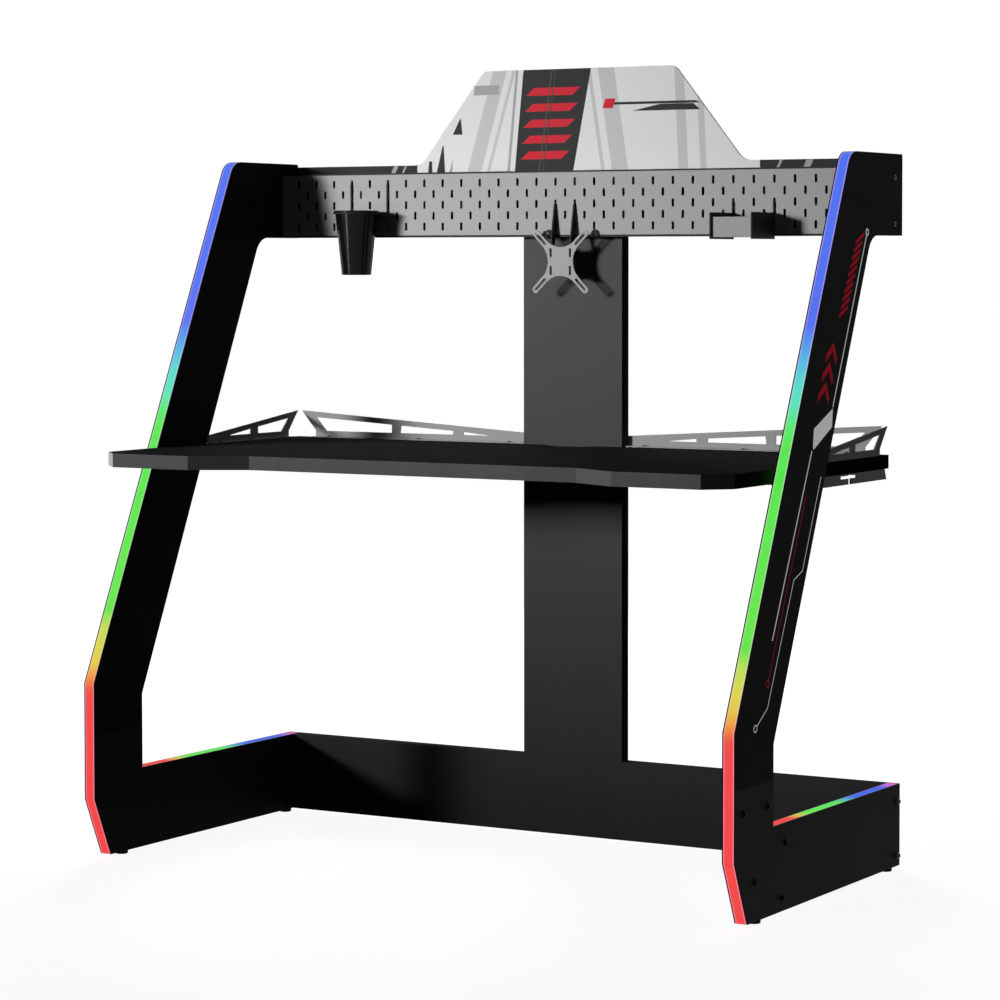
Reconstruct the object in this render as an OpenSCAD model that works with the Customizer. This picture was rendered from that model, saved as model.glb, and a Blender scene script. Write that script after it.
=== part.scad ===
// Gaming desk: two lit side frames, a tabletop between them, and a slotted tool board with hook-in holders.
// X runs to the right, Y to the back, Z up. The origin is on the floor, at the middle of the side frames.

/* [Overall] */
// Width over the outer faces of the side frames
desk_w = 1280; // [1150:10:1450]
// Depth of the side frames at the floor
frame_d = 640; // [600:5:700]
// Height of the side frames above the floor
frame_h = 1241; // [1200:1:1300]
// Thickness of the side frames' boards
frame_t = 23; // [22:0.5:28]
// Thickness of the column and the rear beam
board_t = 25; // [24:0.5:30]

/* [Side frame] */
// Height of the foot's top above the floor
foot_h = 149; // [130:1:165]
// Height of the joint between the upper and the lower board
split_h = 224; // [205:1:245]
// How far the toe lies behind the front edge
toe_setback = 45; // [30:1:60]
// Height of the lower bend in the front edge
low_bend_h = 109; // [90:1:125]
// Height of the upper bend in the front edge
high_bend_h = 315; // [285:1:345]
// How far the front edge leans back between the upper bend and the top
lean_run = 430; // [410:1:450]
// Depth of the upright part above the foot
leg_d = 138; // [125:1:155]
// Height of the bend in the arm's rear edge
rear_bend_h = 282; // [262:1:305]
// Height of the head that carries the tool board
head_h = 140.5; // [130:0.5:160]
// Depth of the head's underside, up to where the arm's rear edge would meet it
head_d = 128; // [115:1:145]
// Radius of the head's front corner
top_corner_r = 35; // [20:1:50]
// Radius between the head's underside and the arm
head_fillet_r = 40; // [25:1:55]
// Radius of the head's rear corner
head_rear_r = 4; // [2:0.5:8]

/* [Light strips] */
// Width of the light diffuser across the board's edge
light_w = 18.5; // [15:0.5:19]
// Depth of the light diffuser, which is the depth of its groove
light_t = 8; // [6:0.5:10]
// Width of the tape that carries the lamps
tape_w = 12; // [8:0.5:13]
// Thickness of the tape
tape_t = 1.2; // [0.8:0.1:2]
// Bare board between a strip's end and the rear edge
light_end = 6; // [5:0.5:15]

/* [Tool board] */
// Distance between the slots of a row
slot_pitch = 40; // [36:1:44]
// Distance between the rows
row_pitch = 20; // [18:0.5:23]
// Width of a slot
slot_w = 5; // [4.6:0.1:6]
// Height of a slot
slot_h = 15; // [14:0.5:16]
// Distance from the outer rows to the board's edge
row_margin = 20; // [16:0.5:24]
// Thickness of the sheet steel
panel_t = 1.5; // [1.2:0.1:2]
// Depth of the folded edges
panel_d = 27; // [22:1:32]

/* [Column and display] */
// Width of the column
col_w = 205; // [190:1:230]
// How far the column's top stays below the frames' top
col_drop = 27; // [24:1:36]
// Thickness of the display sheet
sheet_t = 4; // [3:0.5:6]
// How far the display sheet reaches down below the frames' top
sheet_drop = 138; // [125:1:140]
// How far the display sheet's low ends stay below the frames' top
sheet_lip = 5.5; // [1:0.5:12]
// Height of the display sheet's raised middle over the frames' top
sheet_rise = 166; // [130:1:190]
// Half width of the raised middle at its foot
sheet_foot_x = 336; // [300:1:370]
// Half width of the raised middle at its top
sheet_top_x = 199; // [170:1:225]
// Radius of the raised middle's upper corners
sheet_corner_r = 22; // [12:1:32]
// Radius where the raised middle meets the low ends
sheet_foot_r = 34; // [20:1:45]

/* [Tabletop] */
// Height of the tabletop's upper face above the floor
desk_h = 721; // [700:1:745]
// Thickness of the tabletop
desk_t = 24; // [22:0.5:28]
// How far the wings stop behind the frames' front edge
wing_setback = 3; // [0:1:20]
// How far the middle of the front edge lies behind the wings
recess_d = 51; // [30:1:70]
// Half width of the recess at the middle front edge
recess_in_x = 323; // [290:1:350]
// Half width of the recess at the wings
recess_out_x = 416; // [395:1:440]
// Length of the front corners' bevel along each side
bevel = 40; // [25:1:55]
// How far the tabletop's rear edge lies in front of the frames' rear edge
desk_rear_gap = 1; // [0.5:0.5:6]
// Depth of the cable notch in front of the column
cable_d = 30; // [18:1:45]
// Half width of the cable notch at its front
cable_front_x = 28; // [15:1:40]
// Half width of the cable notch at the column
cable_rear_x = 56; // [42:1:80]

/* [Fence rails] */
// Thickness of the rails and the tabletop's brackets
rail_t = 2; // [1.5:0.1:2.4]
// Height of the rails' tips above the tabletop
tip_h = 50; // [42:1:60]
// Height of a side rail's front end above the tabletop
side_rail_low = 15; // [12:0.5:20]
// Height of a rear rail's end at the column above the tabletop
rear_rail_low = 19.5; // [15:0.5:25]
// Height of the rails' solid band above the tabletop
rail_band = 12; // [10:0.5:13]
// Width of the side rails' upper bar
side_rail_bar = 10; // [8:0.5:11]
// Width of the rear rails' upper bar
rear_rail_bar = 10.5; // [8:0.5:12]
// Width of the rails' end posts
rail_post = 24; // [18:1:28]
// How far the rails' tips reach out past their feet
tip_lean = 32; // [24:1:38]
// Width of the rails' foot flange
flange_w = 12; // [11:0.5:16]
// Distance from the frames' rear edge to the side rails' tips
rail_setback = 6; // [5:1:14]
// Distance from the rear rails to the tabletop's rear edge
rail_edge = 3; // [2:0.5:8]
// Distance from the side frames to the rear rails' tips
rail_corner = 11; // [6:1:20]

/* [Tabletop brackets] */
// Height of a bracket's web
bracket_h = 18; // [16:1:26]
// Width of a bracket's flange under the tabletop
bracket_w = 30; // [24:1:40]
// Distance from the frames' front edge to the middle of the hanging slot
hang_place = 472; // [440:1:500]
// Length of the hanging slot
hang_l = 62; // [50:1:80]
// Height of the hanging slot
hang_h = 5; // [4:0.5:5.5]
// How far the hanging slot lies above the web's lower edge
hang_rise = 10; // [8:0.5:10]
// Width of the mouth under the hanging slot
mouth_w = 8; // [6:0.5:10]

/* [Screen holder] */
// Hole spacing of the larger screen pattern
vesa_large = 100; // [100:1:110]
// Hole spacing of the smaller screen pattern
vesa_small = 75; // [70:1:80]
// Width of the plate's diagonal slots
vesa_slot_w = 5; // [4:0.5:6]
// Width of the plate's arms
vesa_arm_w = 13; // [11:0.5:16]
// Half width of the plate's waist
vesa_waist = 26; // [26:0.5:30]
// Thickness of the plate
vesa_t = 2.5; // [2:0.5:4]
// Distance from the tool board's face to the plate's front face
vesa_out = 18; // [14:1:26]
// Distance from the tool board's lower edge down to the plate's middle
vesa_drop = 44.5; // [38:0.5:50]
// Height of the tabs that hold the plate
tab_h = 16; // [12:0.5:18]
// Side clearance of the tabs in the plate's slots
tab_room = 1; // [0.5:0.1:1.5]
// Depth of the hook plates' webs behind the plate
web_d = 6.5; // [5:0.5:9]

/* [Cup and its holder] */
// Outer diameter at the cup's foot
cup_foot_d = 56; // [48:1:64]
// Outer diameter just under the cup's rim
cup_top_d = 79.5; // [70:0.5:84]
// Outer diameter of the rim
cup_rim_d = 84.5; // [82:0.5:90]
// Height of the cup below its rim
cup_h = 116; // [95:1:130]
// Height of the rim
cup_rim_t = 3.5; // [2.5:0.5:5]
// Wall thickness of the cup
cup_wall = 2.2; // [1.6:0.1:3]
// Thickness of the ring plate
ring_t = 2.5; // [2:0.5:4]
// Distance from the tool board to the cup's rim
strap_d = 4; // [3.5:0.5:8]
// How far the ring plate's underside hangs below the middle of the board's fourth row
ring_drop = 36.5; // [32:0.5:40]

/* [Tray] */
// Depth of the tray
tray_d = 90; // [70:1:110]
// Height of the tray's side plates
tray_h = 46.5; // [40:0.5:50]
// Height of the tray's front
tray_front_h = 35; // [26:0.5:38]
// How far the tray's front stands behind the side plates' front edges
tray_inset = 4.5; // [2:0.5:10]
// Height of the tray's floor above the side plates' lower edges
tray_lift = 3.5; // [2:0.5:6]

/* [Hooks] */
// Thickness of the hook plates
hook_t = 2.5; // [1.5:0.1:3]
// Height of a hook's neck, where it passes the slot
neck_h = 6; // [5:0.5:7]
// How far a hook reaches down behind the tool board
tail_drop = 7; // [5.5:0.5:7.5]
// Thickness of the part behind the tool board
tail_t = 2.5; // [2:0.1:3.5]
// Depth of the upright straps on the tool board's face
strap_t = 3.5; // [2.5:0.1:4]

/* [Feet and fasteners] */
// Height of a floor glide
glide_h = 6; // [4:0.5:9]
// Diameter of a floor glide
glide_d = 22; // [18:0.5:22]
// Shank diameter of the frame bolts
bolt_d = 6; // [5:0.5:7]
// Head diameter of the frame bolts
bolt_head_d = 12; // [11:0.5:15]
// Head height of the frame bolts
bolt_head_h = 7; // [5:0.5:8]
// Head diameter of the tool board's two round bolts
knob_d = 17; // [14:0.5:18]
// Head height of the round bolts
knob_h = 5.5; // [4:0.5:7]
// Shank diameter of the round bolts
knob_shank_d = 5; // [4.5:0.5:5.5]
// Diameter of the wooden dowels
dowel_d = 10; // [8:0.5:12]
// Length of the wooden dowels
dowel_l = 60; // [40:1:70]
// Shank diameter of the wood screws
screw_d = 3.5; // [3:0.1:4]
// Head diameter of the wood screws
screw_head_d = 8; // [7:0.5:9]
// Head height of the wood screws
screw_head_h = 2; // [1.5:0.1:2.4]
// Length of the wood screws below their heads
screw_l = 13; // [11:0.5:14]
// Length of the bolts through the frames into the rear beam
beam_bolt_l = 70; // [60:1:80]
// Length of the bolts that hold the tabletop's brackets
bracket_bolt_l = 18; // [14:1:20]
// Diameter of the barrel nuts in the rear beam
barrel_d = 10; // [9:0.5:12]
// Length of the barrel nuts
barrel_l = 16; // [14:0.5:18]
// Width of the tool board's nuts over their corners
nut_d = 11; // [10:0.5:12]
// Height of the tool board's nuts
nut_t = 5; // [4:0.5:6]
// Diameter of a floor glide's nail
glide_pin_d = 4; // [3:0.5:5]
// Length of a floor glide's nail
glide_pin_l = 16; // [10:1:20]
// Diameter of the round caps low on the frames
cap_d = 12; // [10:0.5:15]
// Height of the caps above the board
cap_h = 5; // [3:0.5:6]
// Diameter of the pins behind the caps
cap_pin_d = 7; // [5:0.5:8]
// Length of the pins behind the caps
cap_pin_l = 4; // [3:0.5:5]

/* [Hidden] */

// One overrun for every cut
over = 1;
// Gap between faces that a hook or a running piece must clear
gap = 0.3;
// Side clearance of the diffusers in their grooves and of sheets between boards
fit = 0.2;
// Radial clearance of a bolt in its hole
bolt_gap = 0.2;
// Rounded and bevelled edges of turned pieces
edge = 1;
// Facet counts: slot ends, round holes and shanks, and large rounds
slot_n = 16;
round_n = 32;
fine_n = 64;
// Corners of a hexagon
hex_n = 6;
// Steps of a rounded corner in a profile
arc_n = 10;

// Places of the main faces
front_y = -frame_d / 2;
rear_y = frame_d / 2;
outer_x = desk_w / 2;
inner_x = outer_x - frame_t;
mid_x = outer_x - frame_t / 2;
col_front_y = rear_y - board_t;
panel_y = col_front_y - panel_d;
beam_mid_y = rear_y - board_t / 2;
leg_rear_y = front_y + leg_d;
head_low_h = frame_h - head_h;
col_top_h = frame_h - col_drop;
sheet_low_h = frame_h - sheet_drop;
sheet_end_h = frame_h - sheet_lip;
sheet_top_h = frame_h + sheet_rise;
vesa_h = head_low_h - vesa_drop;
arm_corner_y = rear_y - head_d;

// Corner points of the side frame, as [y, z]
toe = [front_y + toe_setback, glide_h];
low_bend = [front_y, low_bend_h];
high_bend = [front_y, high_bend_h];
top_corner = [front_y + lean_run, frame_h];
arm_corner = [arm_corner_y, head_low_h];
rear_bend = [leg_rear_y, rear_bend_h];

// Rows of the tool board, counted from its lower edge
rows = 5;
row_z = [for (i = [0:rows - 1]) head_low_h + row_margin + i * row_pitch];
panel_h = 2 * row_margin + (rows - 1) * row_pitch;
panel_w = 2 * inner_x - 2 * fit;

function unit(v) = v / norm(v);
// Normal of a path's step, on the side where the board lies
function side_of(u) = [u.y, -u.x];
// Point at distance d inside the corner p between the steps u and v
function inset(p, u, v, d) =
    p + d * (side_of(u) + side_of(v)) / (1 + side_of(u) * side_of(v));
function arc(c, r, a0, a1, n = arc_n) =
    [for (i = [0:n]) c + r * [cos(a0 + (a1 - a0) * i / n), sin(a0 + (a1 - a0) * i / n)]];
// Point at height z on the line from a to b
function at_height(a, b, z) = a + (b - a) * (z - a.y) / (b.y - a.y);
function flip(points) = [for (i = [len(points) - 1:-1:0]) points[i]];

u_toe = unit(low_bend - toe);
u_up = [0, 1];
u_lean = unit(top_corner - high_bend);
u_back = [1, 0];
lean_angle = atan2(u_lean.x, -u_lean.y);

// The frame's front and top edge at depth d, from the toe to the rear end of the light strip
function edge_path(d) = concat(
    [toe + d * side_of(u_toe) + u_toe * d * u_toe.x / u_toe.y,
     inset(low_bend, u_toe, u_up, d),
     inset(high_bend, u_up, u_lean, d)],
    arc(inset(top_corner, u_lean, u_back, top_corner_r), top_corner_r - d, lean_angle, 90),
    [[rear_y - light_end, frame_h - d]]);

function edge_band(d0, d1) = concat(edge_path(d0), flip(edge_path(d1)));

// Fillet between the head's underside and the arm
u_arm = unit(rear_bend - arm_corner);
fillet_c = arm_corner + head_fillet_r * (u_back + u_arm) / -u_arm.y;

function arm_outline() = concat(
    [[front_y, split_h], high_bend],
    arc(inset(top_corner, u_lean, u_back, top_corner_r), top_corner_r, lean_angle, 90),
    arc([rear_y - head_rear_r, frame_h - head_rear_r], head_rear_r, 90, 0),
    [[rear_y, head_low_h]],
    arc(fillet_c, head_fillet_r, 90, atan2(side_of(u_arm).y, side_of(u_arm).x)),
    [rear_bend, [leg_rear_y, split_h]]);

function foot_outline() = [toe, low_bend, [front_y, split_h], [leg_rear_y, split_h],
    [leg_rear_y, foot_h], [rear_y, foot_h], [rear_y, glide_h]];

// Places of the frame's fasteners, as shares of the pieces that carry them
head_bolt_share = 0.74;
nut_reach_share = 1.3;
small_head_d_share = 0.85;
small_head_h_share = 0.3;
socket_floor_share = 0.45;
bolt_socket_share = 0.42;
screw_socket_share = 0.35;
cap_y_share = [0.855, 0.227, 1.325, 0.515, 1.239];
cap_z_share = [0.825, 0.825, 0.52, 0.312, 0.125];
caps = [for (i = [0:len(cap_y_share) - 1])
    [front_y + leg_d * cap_y_share[i], split_h * cap_z_share[i]]];
dowel_y = [caps[0].x, caps[1].x];
glide_y_share = [0.142, 0.947];
glide_y = [for (s = glide_y_share) front_y + frame_d * s];
head_bolt_y = panel_y + panel_d * head_bolt_share;
head_bolt_z = [row_z[0], row_z[rows - 1]];
beam_bolt_z_share = [0.165, 0.8];
beam_bolt_z = [for (s = beam_bolt_z_share) foot_h * s];
barrel_x = outer_x - beam_bolt_l + barrel_d;
head_bolt_l = frame_t + fit + panel_t + nut_t * nut_reach_share;

// A solid whose outline is given as [y, z] and whose thickness runs along x
module slab(x0, x1) {
    translate([x0, 0, 0])
        rotate([90, 0, 90])
            linear_extrude(x1 - x0)
                children();
}

// A solid whose outline is given as [x, z] and whose thickness runs back along y
module sheet_at(y0, y1) {
    translate([0, y1, 0])
        rotate([90, 0, 0])
            linear_extrude(y1 - y0)
                children();
}

// A round hole or bar along x, y or z
module bar_x(d, x0, x1) {
    translate([x0, 0, 0])
        rotate([0, 90, 0])
            cylinder(d = d, h = x1 - x0, $fn = round_n);
}

module bar_y(d, y0, y1) {
    translate([0, y1, 0])
        rotate([90, 0, 0])
            cylinder(d = d, h = y1 - y0, $fn = round_n);
}

module bar_z(d, z0, z1) {
    translate([0, 0, z0])
        cylinder(d = d, h = z1 - z0, $fn = round_n);
}

module mirrored() {
    mirror([1, 0, 0])
        children();
}

// A bolt that points down from a domed head with a hexagon socket
module dome_bolt(head_d, head_h, shank_d, shank_l, socket_share = bolt_socket_share) {
    dome_n = arc_n / 2;
    difference() {
        rotate_extrude($fn = round_n)
            polygon(concat(
                [[0, -shank_l], [shank_d / 2, -shank_l], [shank_d / 2, 0], [head_d / 2, 0]],
                [for (i = [1:dome_n])
                    [head_d / 2 * cos(90 * i / dome_n), head_h * sin(90 * i / dome_n)]]));
        if (socket_share > 0)
            translate([0, 0, head_h * socket_floor_share])
                cylinder(d = head_d * socket_share, h = head_h, $fn = hex_n);
    }
}

// Side frame boards
module light_groove() {
    slab(mid_x - light_w / 2 - fit, mid_x + light_w / 2 + fit) {
        polygon(edge_band(-over, light_t));
    }
}

module foot_groove() {
    slab(mid_x - light_w / 2 - fit, mid_x + light_w / 2 + fit)
        translate([leg_rear_y, foot_h - light_t])
            square([rear_y - light_end - leg_rear_y, light_t + over]);
}

module dowel_bores() {
    for (y = dowel_y)
        translate([mid_x, y, 0])
            bar_z(dowel_d + fit, split_h - dowel_l / 2 - fit, split_h + dowel_l / 2 + fit);
}

module arm() {
    color([0.03, 0.03, 0.033])
        difference() {
            slab(inner_x, outer_x)
                polygon(arm_outline());
            light_groove();
            dowel_bores();
            for (z = head_bolt_z)
                translate([0, head_bolt_y, z])
                    bar_x(bolt_d + 2 * bolt_gap, inner_x - over, outer_x + over);
            for (y = bracket_bolt_y)
                translate([0, y, bracket_bolt_z])
                    bar_x(bolt_d + 2 * bolt_gap, inner_x - over, inner_x + bracket_bolt_l - rail_t + fit);
        }
}

module foot() {
    color([0.03, 0.03, 0.033])
        difference() {
            slab(inner_x, outer_x)
                polygon(foot_outline());
            light_groove();
            foot_groove();
            dowel_bores();
            for (p = caps)
                translate([0, p.x, p.y])
                    bar_x(cap_pin_d + fit, outer_x - cap_pin_l - fit, outer_x + over);
            for (z = beam_bolt_z)
                translate([0, beam_mid_y, z])
                    bar_x(bolt_d + 2 * bolt_gap, inner_x - over, outer_x + over);
            for (y = glide_y)
                translate([mid_x, y, 0])
                    bar_z(glide_pin_d + fit, glide_h - over, glide_h + glide_pin_l + fit);
        }
}

// Light strips: a milky diffuser with a channel on its inner side, and the tape in that channel
module front_light() {
    color([0.35, 0.75, 0.9])
        difference() {
            slab(mid_x - light_w / 2, mid_x + light_w / 2)
                polygon(edge_band(0, light_t));
            slab(mid_x - tape_w / 2 - fit, mid_x + tape_w / 2 + fit)
                polygon(edge_band(light_t - tape_t - fit, light_t + over));
        }
}

module front_tape() {
    color([0.9, 0.9, 0.85])
        slab(mid_x - tape_w / 2, mid_x + tape_w / 2)
            polygon(edge_band(light_t - tape_t, light_t));
}

module foot_light() {
    color([0.35, 0.75, 0.9])
        difference() {
            slab(mid_x - light_w / 2, mid_x + light_w / 2)
                translate([leg_rear_y, foot_h - light_t])
                    square([rear_y - light_end - leg_rear_y, light_t]);
            slab(mid_x - tape_w / 2 - fit, mid_x + tape_w / 2 + fit)
                translate([leg_rear_y - over, foot_h - light_t - over])
                    square([rear_y - light_end - leg_rear_y + 2 * over, tape_t + fit + over]);
        }
}

module foot_tape() {
    color([0.9, 0.9, 0.85])
        slab(mid_x - tape_w / 2, mid_x + tape_w / 2)
            translate([leg_rear_y, foot_h - light_t])
                square([rear_y - light_end - leg_rear_y, tape_t]);
}

// Rear beam and column
column_dowel_share = [-0.3, 0, 0.3];

module column_dowel_bores() {
    for (s = column_dowel_share)
        translate([col_w * s, beam_mid_y, 0])
            bar_z(dowel_d + fit, foot_h - dowel_l / 2 - fit, foot_h + dowel_l / 2 + fit);
}

module rear_beam() {
    color([0.12, 0.12, 0.125])
        difference() {
            translate([-inner_x, col_front_y, glide_h])
                cube([2 * inner_x, board_t, foot_h - glide_h]);
            column_dowel_bores();
            for (side = [0, 1])
                mirror([side, 0, 0])
                    for (z = beam_bolt_z)
                        translate([0, beam_mid_y, z]) {
                            bar_x(bolt_d + 2 * bolt_gap, outer_x - beam_bolt_l - fit, inner_x + over);
                            translate([barrel_x, 0, 0])
                                bar_y(barrel_d + fit, rear_y - beam_mid_y - (board_t + barrel_l) / 2 - fit,
                                    rear_y - beam_mid_y + over);
                        }
        }
}

module column() {
    color([0.2, 0.2, 0.205])
        difference() {
            translate([-col_w / 2, col_front_y, foot_h])
                cube([col_w, board_t, col_top_h - foot_h]);
            translate([-col_w / 2 - over, rear_y - sheet_t, sheet_low_h])
                cube([col_w + 2 * over, sheet_t + over, col_top_h - sheet_low_h + over]);
            column_dowel_bores();
            for (p = knobs)
                translate([p.x, 0, p.y])
                    bar_y(knob_shank_d + 2 * bolt_gap, col_front_y - over, panel_y + knob_shank_l + fit);
            for (p = sheet_screw_at)
                translate([p.x, 0, p.y])
                    bar_y(screw_d + fit, rear_y - screw_head_h - screw_l - fit, rear_y + over);
        }
}

// Tool board: slotted sheet steel with edges folded back, open at the back
half_n = round((panel_w / 2 - row_margin - slot_w) / slot_pitch);

// Slot places along a row: the outer rows and the middle one are staggered against the other two
function row_slots(i) =
    let (odd = i % 2, n = half_n - odd, shift = (1 - odd) / 2)
    [for (k = [-n:n - 1 + odd]) (k + shift) * slot_pitch];

module slot_shape() {
    square([slot_w, slot_h - slot_w], center = true);
    for (s = [-1, 1])
        translate([0, s * (slot_h - slot_w) / 2])
            circle(d = slot_w, $fn = slot_n);
}

// The two round bolts at the lower edge, as [x, z]
knob_x_share = [-0.34, 0.63];
knobs = [for (s = knob_x_share) [s * vesa_large, head_low_h + knob_shank_d]];
knob_reach_share = 0.8;
knob_shank_l = panel_d + board_t * knob_reach_share;

module tool_board() {
    color([0.55, 0.55, 0.56])
        sheet_at(panel_y, panel_y + panel_t)
            difference() {
                translate([-panel_w / 2, head_low_h])
                    square([panel_w, panel_h]);
                for (i = [0:rows - 1])
                    for (x = row_slots(i))
                        translate([x, row_z[i]])
                            slot_shape();
                for (p = knobs)
                    translate(p)
                        circle(d = knob_shank_d + 2 * bolt_gap, $fn = round_n);
            }
}

// The tool board's folded edges: top and bottom along its whole width, the ends between them,
// with a relief gap at each corner
module board_edges() {
    edge_d = panel_d - panel_t;
    color([0.55, 0.55, 0.56]) {
        for (z = [head_low_h, head_low_h + panel_h - panel_t])
            translate([-panel_w / 2, panel_y + panel_t, z])
                cube([panel_w, edge_d, panel_t]);
        for (side = [0, 1])
            mirror([side, 0, 0])
                difference() {
                    translate([panel_w / 2 - panel_t, panel_y + panel_t, head_low_h + panel_t + gap])
                        cube([panel_t, edge_d, panel_h - 2 * (panel_t + gap)]);
                    for (z = head_bolt_z)
                        translate([0, head_bolt_y, z])
                            bar_x(bolt_d + 2 * bolt_gap, panel_w / 2 - panel_t - over, panel_w / 2 + over);
                }
    }
}

// Display sheet: a low strip with a raised middle
sheet_half_w = inner_x - 2 * fit;

function sheet_side() =
    let (foot_p = [sheet_foot_x, sheet_end_h],
        top_p = [sheet_top_x, sheet_top_h],
        u = unit(top_p - foot_p),
        slope = atan2(u.y, -u.x),
        foot_t = sheet_foot_r * tan(slope / 2),
        top_t = sheet_corner_r * tan(slope / 2),
        foot_c = foot_p + [foot_t, sheet_foot_r],
        top_c = top_p + [-top_t, -sheet_corner_r])
    concat(arc(foot_c, sheet_foot_r, 270, 270 - slope),
        arc(top_c, sheet_corner_r, 90 - slope, 90));

module display_sheet() {
    side = sheet_side();
    color([0.82, 0.82, 0.84])
        difference() {
            sheet_at(rear_y - sheet_t, rear_y)
                polygon(concat(
                    [[-sheet_half_w, sheet_low_h], [sheet_half_w, sheet_low_h],
                     [sheet_half_w, sheet_end_h]],
                    side,
                    [for (p = flip(side)) [-p.x, p.y]],
                    [[-sheet_half_w, sheet_end_h]]));
            for (p = sheet_screw_at)
                translate([p.x, 0, p.y]) {
                    bar_y(screw_d + 2 * fit, rear_y - sheet_t - over, rear_y + over);
                    bar_y(screw_head_d + 2 * fit, rear_y - screw_head_h, rear_y + over);
                }
        }
}

sheet_screw_share = [-0.36, 0.36];
sheet_screw_z_share = [0.25, 0.75];
sheet_screw_at = [for (s = sheet_screw_share, k = sheet_screw_z_share)
    [s * col_w, sheet_low_h + k * (col_top_h - sheet_low_h)]];

module sheet_screws() {
    color([0.15, 0.15, 0.15])
        for (p = sheet_screw_at)
            translate([p.x, rear_y - screw_head_h, p.y])
                rotate([-90, 0, 0])
                    dome_bolt(screw_head_d, screw_head_h, screw_d, screw_l, screw_socket_share);
}

// Tabletop
desk_low_h = desk_h - desk_t;
desk_rear_y = rear_y - desk_rear_gap;
wing_y = front_y + wing_setback;
// Where the side frame's edges cross the tabletop's underside
leg_front_at_desk = at_height(high_bend, top_corner, desk_low_h).x;
leg_rear_at_desk = at_height(rear_bend, arm_corner, desk_h).x;
wing_x = inner_x - gap;

function desk_side() = [
    [recess_in_x, wing_y + recess_d], [recess_out_x, wing_y],
    [wing_x - bevel, wing_y], [wing_x, wing_y + bevel], [wing_x, desk_rear_y],
    [col_w / 2 + 2 * gap, desk_rear_y], [col_w / 2 + 2 * gap, col_front_y - gap],
    [cable_rear_x, col_front_y - gap], [cable_front_x, col_front_y - gap - cable_d]];

module tabletop() {
    side = desk_side();
    color([0.1, 0.1, 0.105])
        difference() {
            translate([0, 0, desk_low_h])
                linear_extrude(desk_t)
                    polygon(concat(side, [for (p = flip(side)) [-p.x, p.y]]));
            for (s = [0, 1])
                mirror([s, 0, 0]) {
                    for (y = desk_screw_y)
                        translate([desk_screw_x, y, 0])
                            bar_z(screw_d + fit, desk_low_h - over, desk_low_h - rail_t + screw_l + fit);
                    for (p = rail_screw_at)
                        translate([p.x, p.y, 0])
                            bar_z(screw_d + fit, desk_h + rail_t - screw_l - fit, desk_h + over);
                }
        }
}

// Fence rails: folded sheet steel that stands on the tabletop, with a foot flange turned inward
side_rail_x = inner_x - gap;
side_rail_front = leg_rear_at_desk + gap;
side_rail_foot = rear_y - tip_lean - rail_setback;
side_rail_tip = rear_y - rail_setback;
rear_rail_y = desk_rear_y - rail_edge;
rear_rail_in = col_w / 2 + rail_t;
rear_rail_tip = inner_x - rail_corner;
rear_rail_foot = rear_rail_tip - tip_lean;
// Places of the rails' screws and cut-outs, as shares of the rails' lengths
side_screw_share = [0.12, 0.5, 0.88];
rear_screw_share = [0.08, 0.5, 0.93];
side_cut_share = [0.228, 0.463, 0.546];
rear_cut_share = [0.161, 0.278, 0.323, 0.556, 0.593];
lean_share = 0.73;
side_screw_y = [for (s = side_screw_share) side_rail_front + s * (side_rail_foot - side_rail_front)];
rear_screw_x = [for (s = rear_screw_share) rear_rail_in + s * (rear_rail_foot - rear_rail_in)];
rail_screw_at = concat(
    [for (y = side_screw_y) [side_rail_x - rail_t - flange_w / 2, y]],
    [for (x = rear_screw_x) [x, rear_rail_y - rail_t - flange_w / 2]]);

// Height of a rail's upper edge at place p along its length
function rail_top(p, p0, p1, low) = desk_h + low + (tip_h - low) * (p - p0) / (p1 - p0);

// The rail's outline from its low end a to its tip b, over a foot that ends at place f
function rail_outline(a, b, f, low) = [[a, desk_h], [a, desk_h + low], [b, desk_h + tip_h],
    [f, desk_h + rail_band], [f, desk_h]];

// A cut-out from p0 to p1 along the band and to p1 + lean along the upper bar
function rail_hole(p0, p1, lean, a, b, low, bar) = [
    [p0, desk_h + rail_band], [p0, rail_top(p0, a, b, low) - bar],
    [p1 + lean, rail_top(p1 + lean, a, b, low) - bar], [p1, desk_h + rail_band]];

// The pointed cut-out at the low end
function rail_wedge(p0, p1, a, b, low, bar) = [
    [p0, desk_h + rail_band], [p1, rail_top(p1, a, b, low) - bar], [p1, desk_h + rail_band]];

module side_rail_shape() {
    a = side_rail_front;
    b = side_rail_tip;
    cut = [for (share = side_cut_share) a + share * (b - a)];
    low = side_rail_low;
    bar = side_rail_bar;
    difference() {
        polygon(rail_outline(a, b, side_rail_foot, low));
        polygon(rail_wedge(cut[0], cut[1], a, b, low, bar));
        polygon(rail_hole(cut[2], side_rail_foot - rail_post, tip_lean * lean_share, a, b, low, bar));
    }
}

module rear_rail_shape() {
    a = rear_rail_in;
    b = rear_rail_tip;
    cut = [for (share = rear_cut_share) a + share * (b - a)];
    low = rear_rail_low;
    bar = rear_rail_bar;
    difference() {
        polygon(rail_outline(a, b, rear_rail_foot, low));
        polygon(rail_wedge(cut[0], cut[1], a, b, low, bar));
        polygon(rail_hole(cut[2], cut[3], -rail_t, a, b, low, bar));
        polygon(rail_hole(cut[4], rear_rail_foot - rail_post, tip_lean * lean_share, a, b, low, bar));
    }
}

module side_rail() {
    color([0.09, 0.09, 0.09])
        difference() {
            union() {
                slab(side_rail_x - rail_t, side_rail_x)
                    side_rail_shape();
                translate([side_rail_x - rail_t - flange_w, side_rail_front, desk_h])
                    cube([flange_w + rail_t, side_rail_foot - side_rail_front, rail_t]);
            }
            for (p = rail_screw_at)
                translate([p.x, p.y, 0])
                    bar_z(screw_d + 2 * fit, desk_h - over, desk_h + rail_t + over);
        }
}

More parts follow.
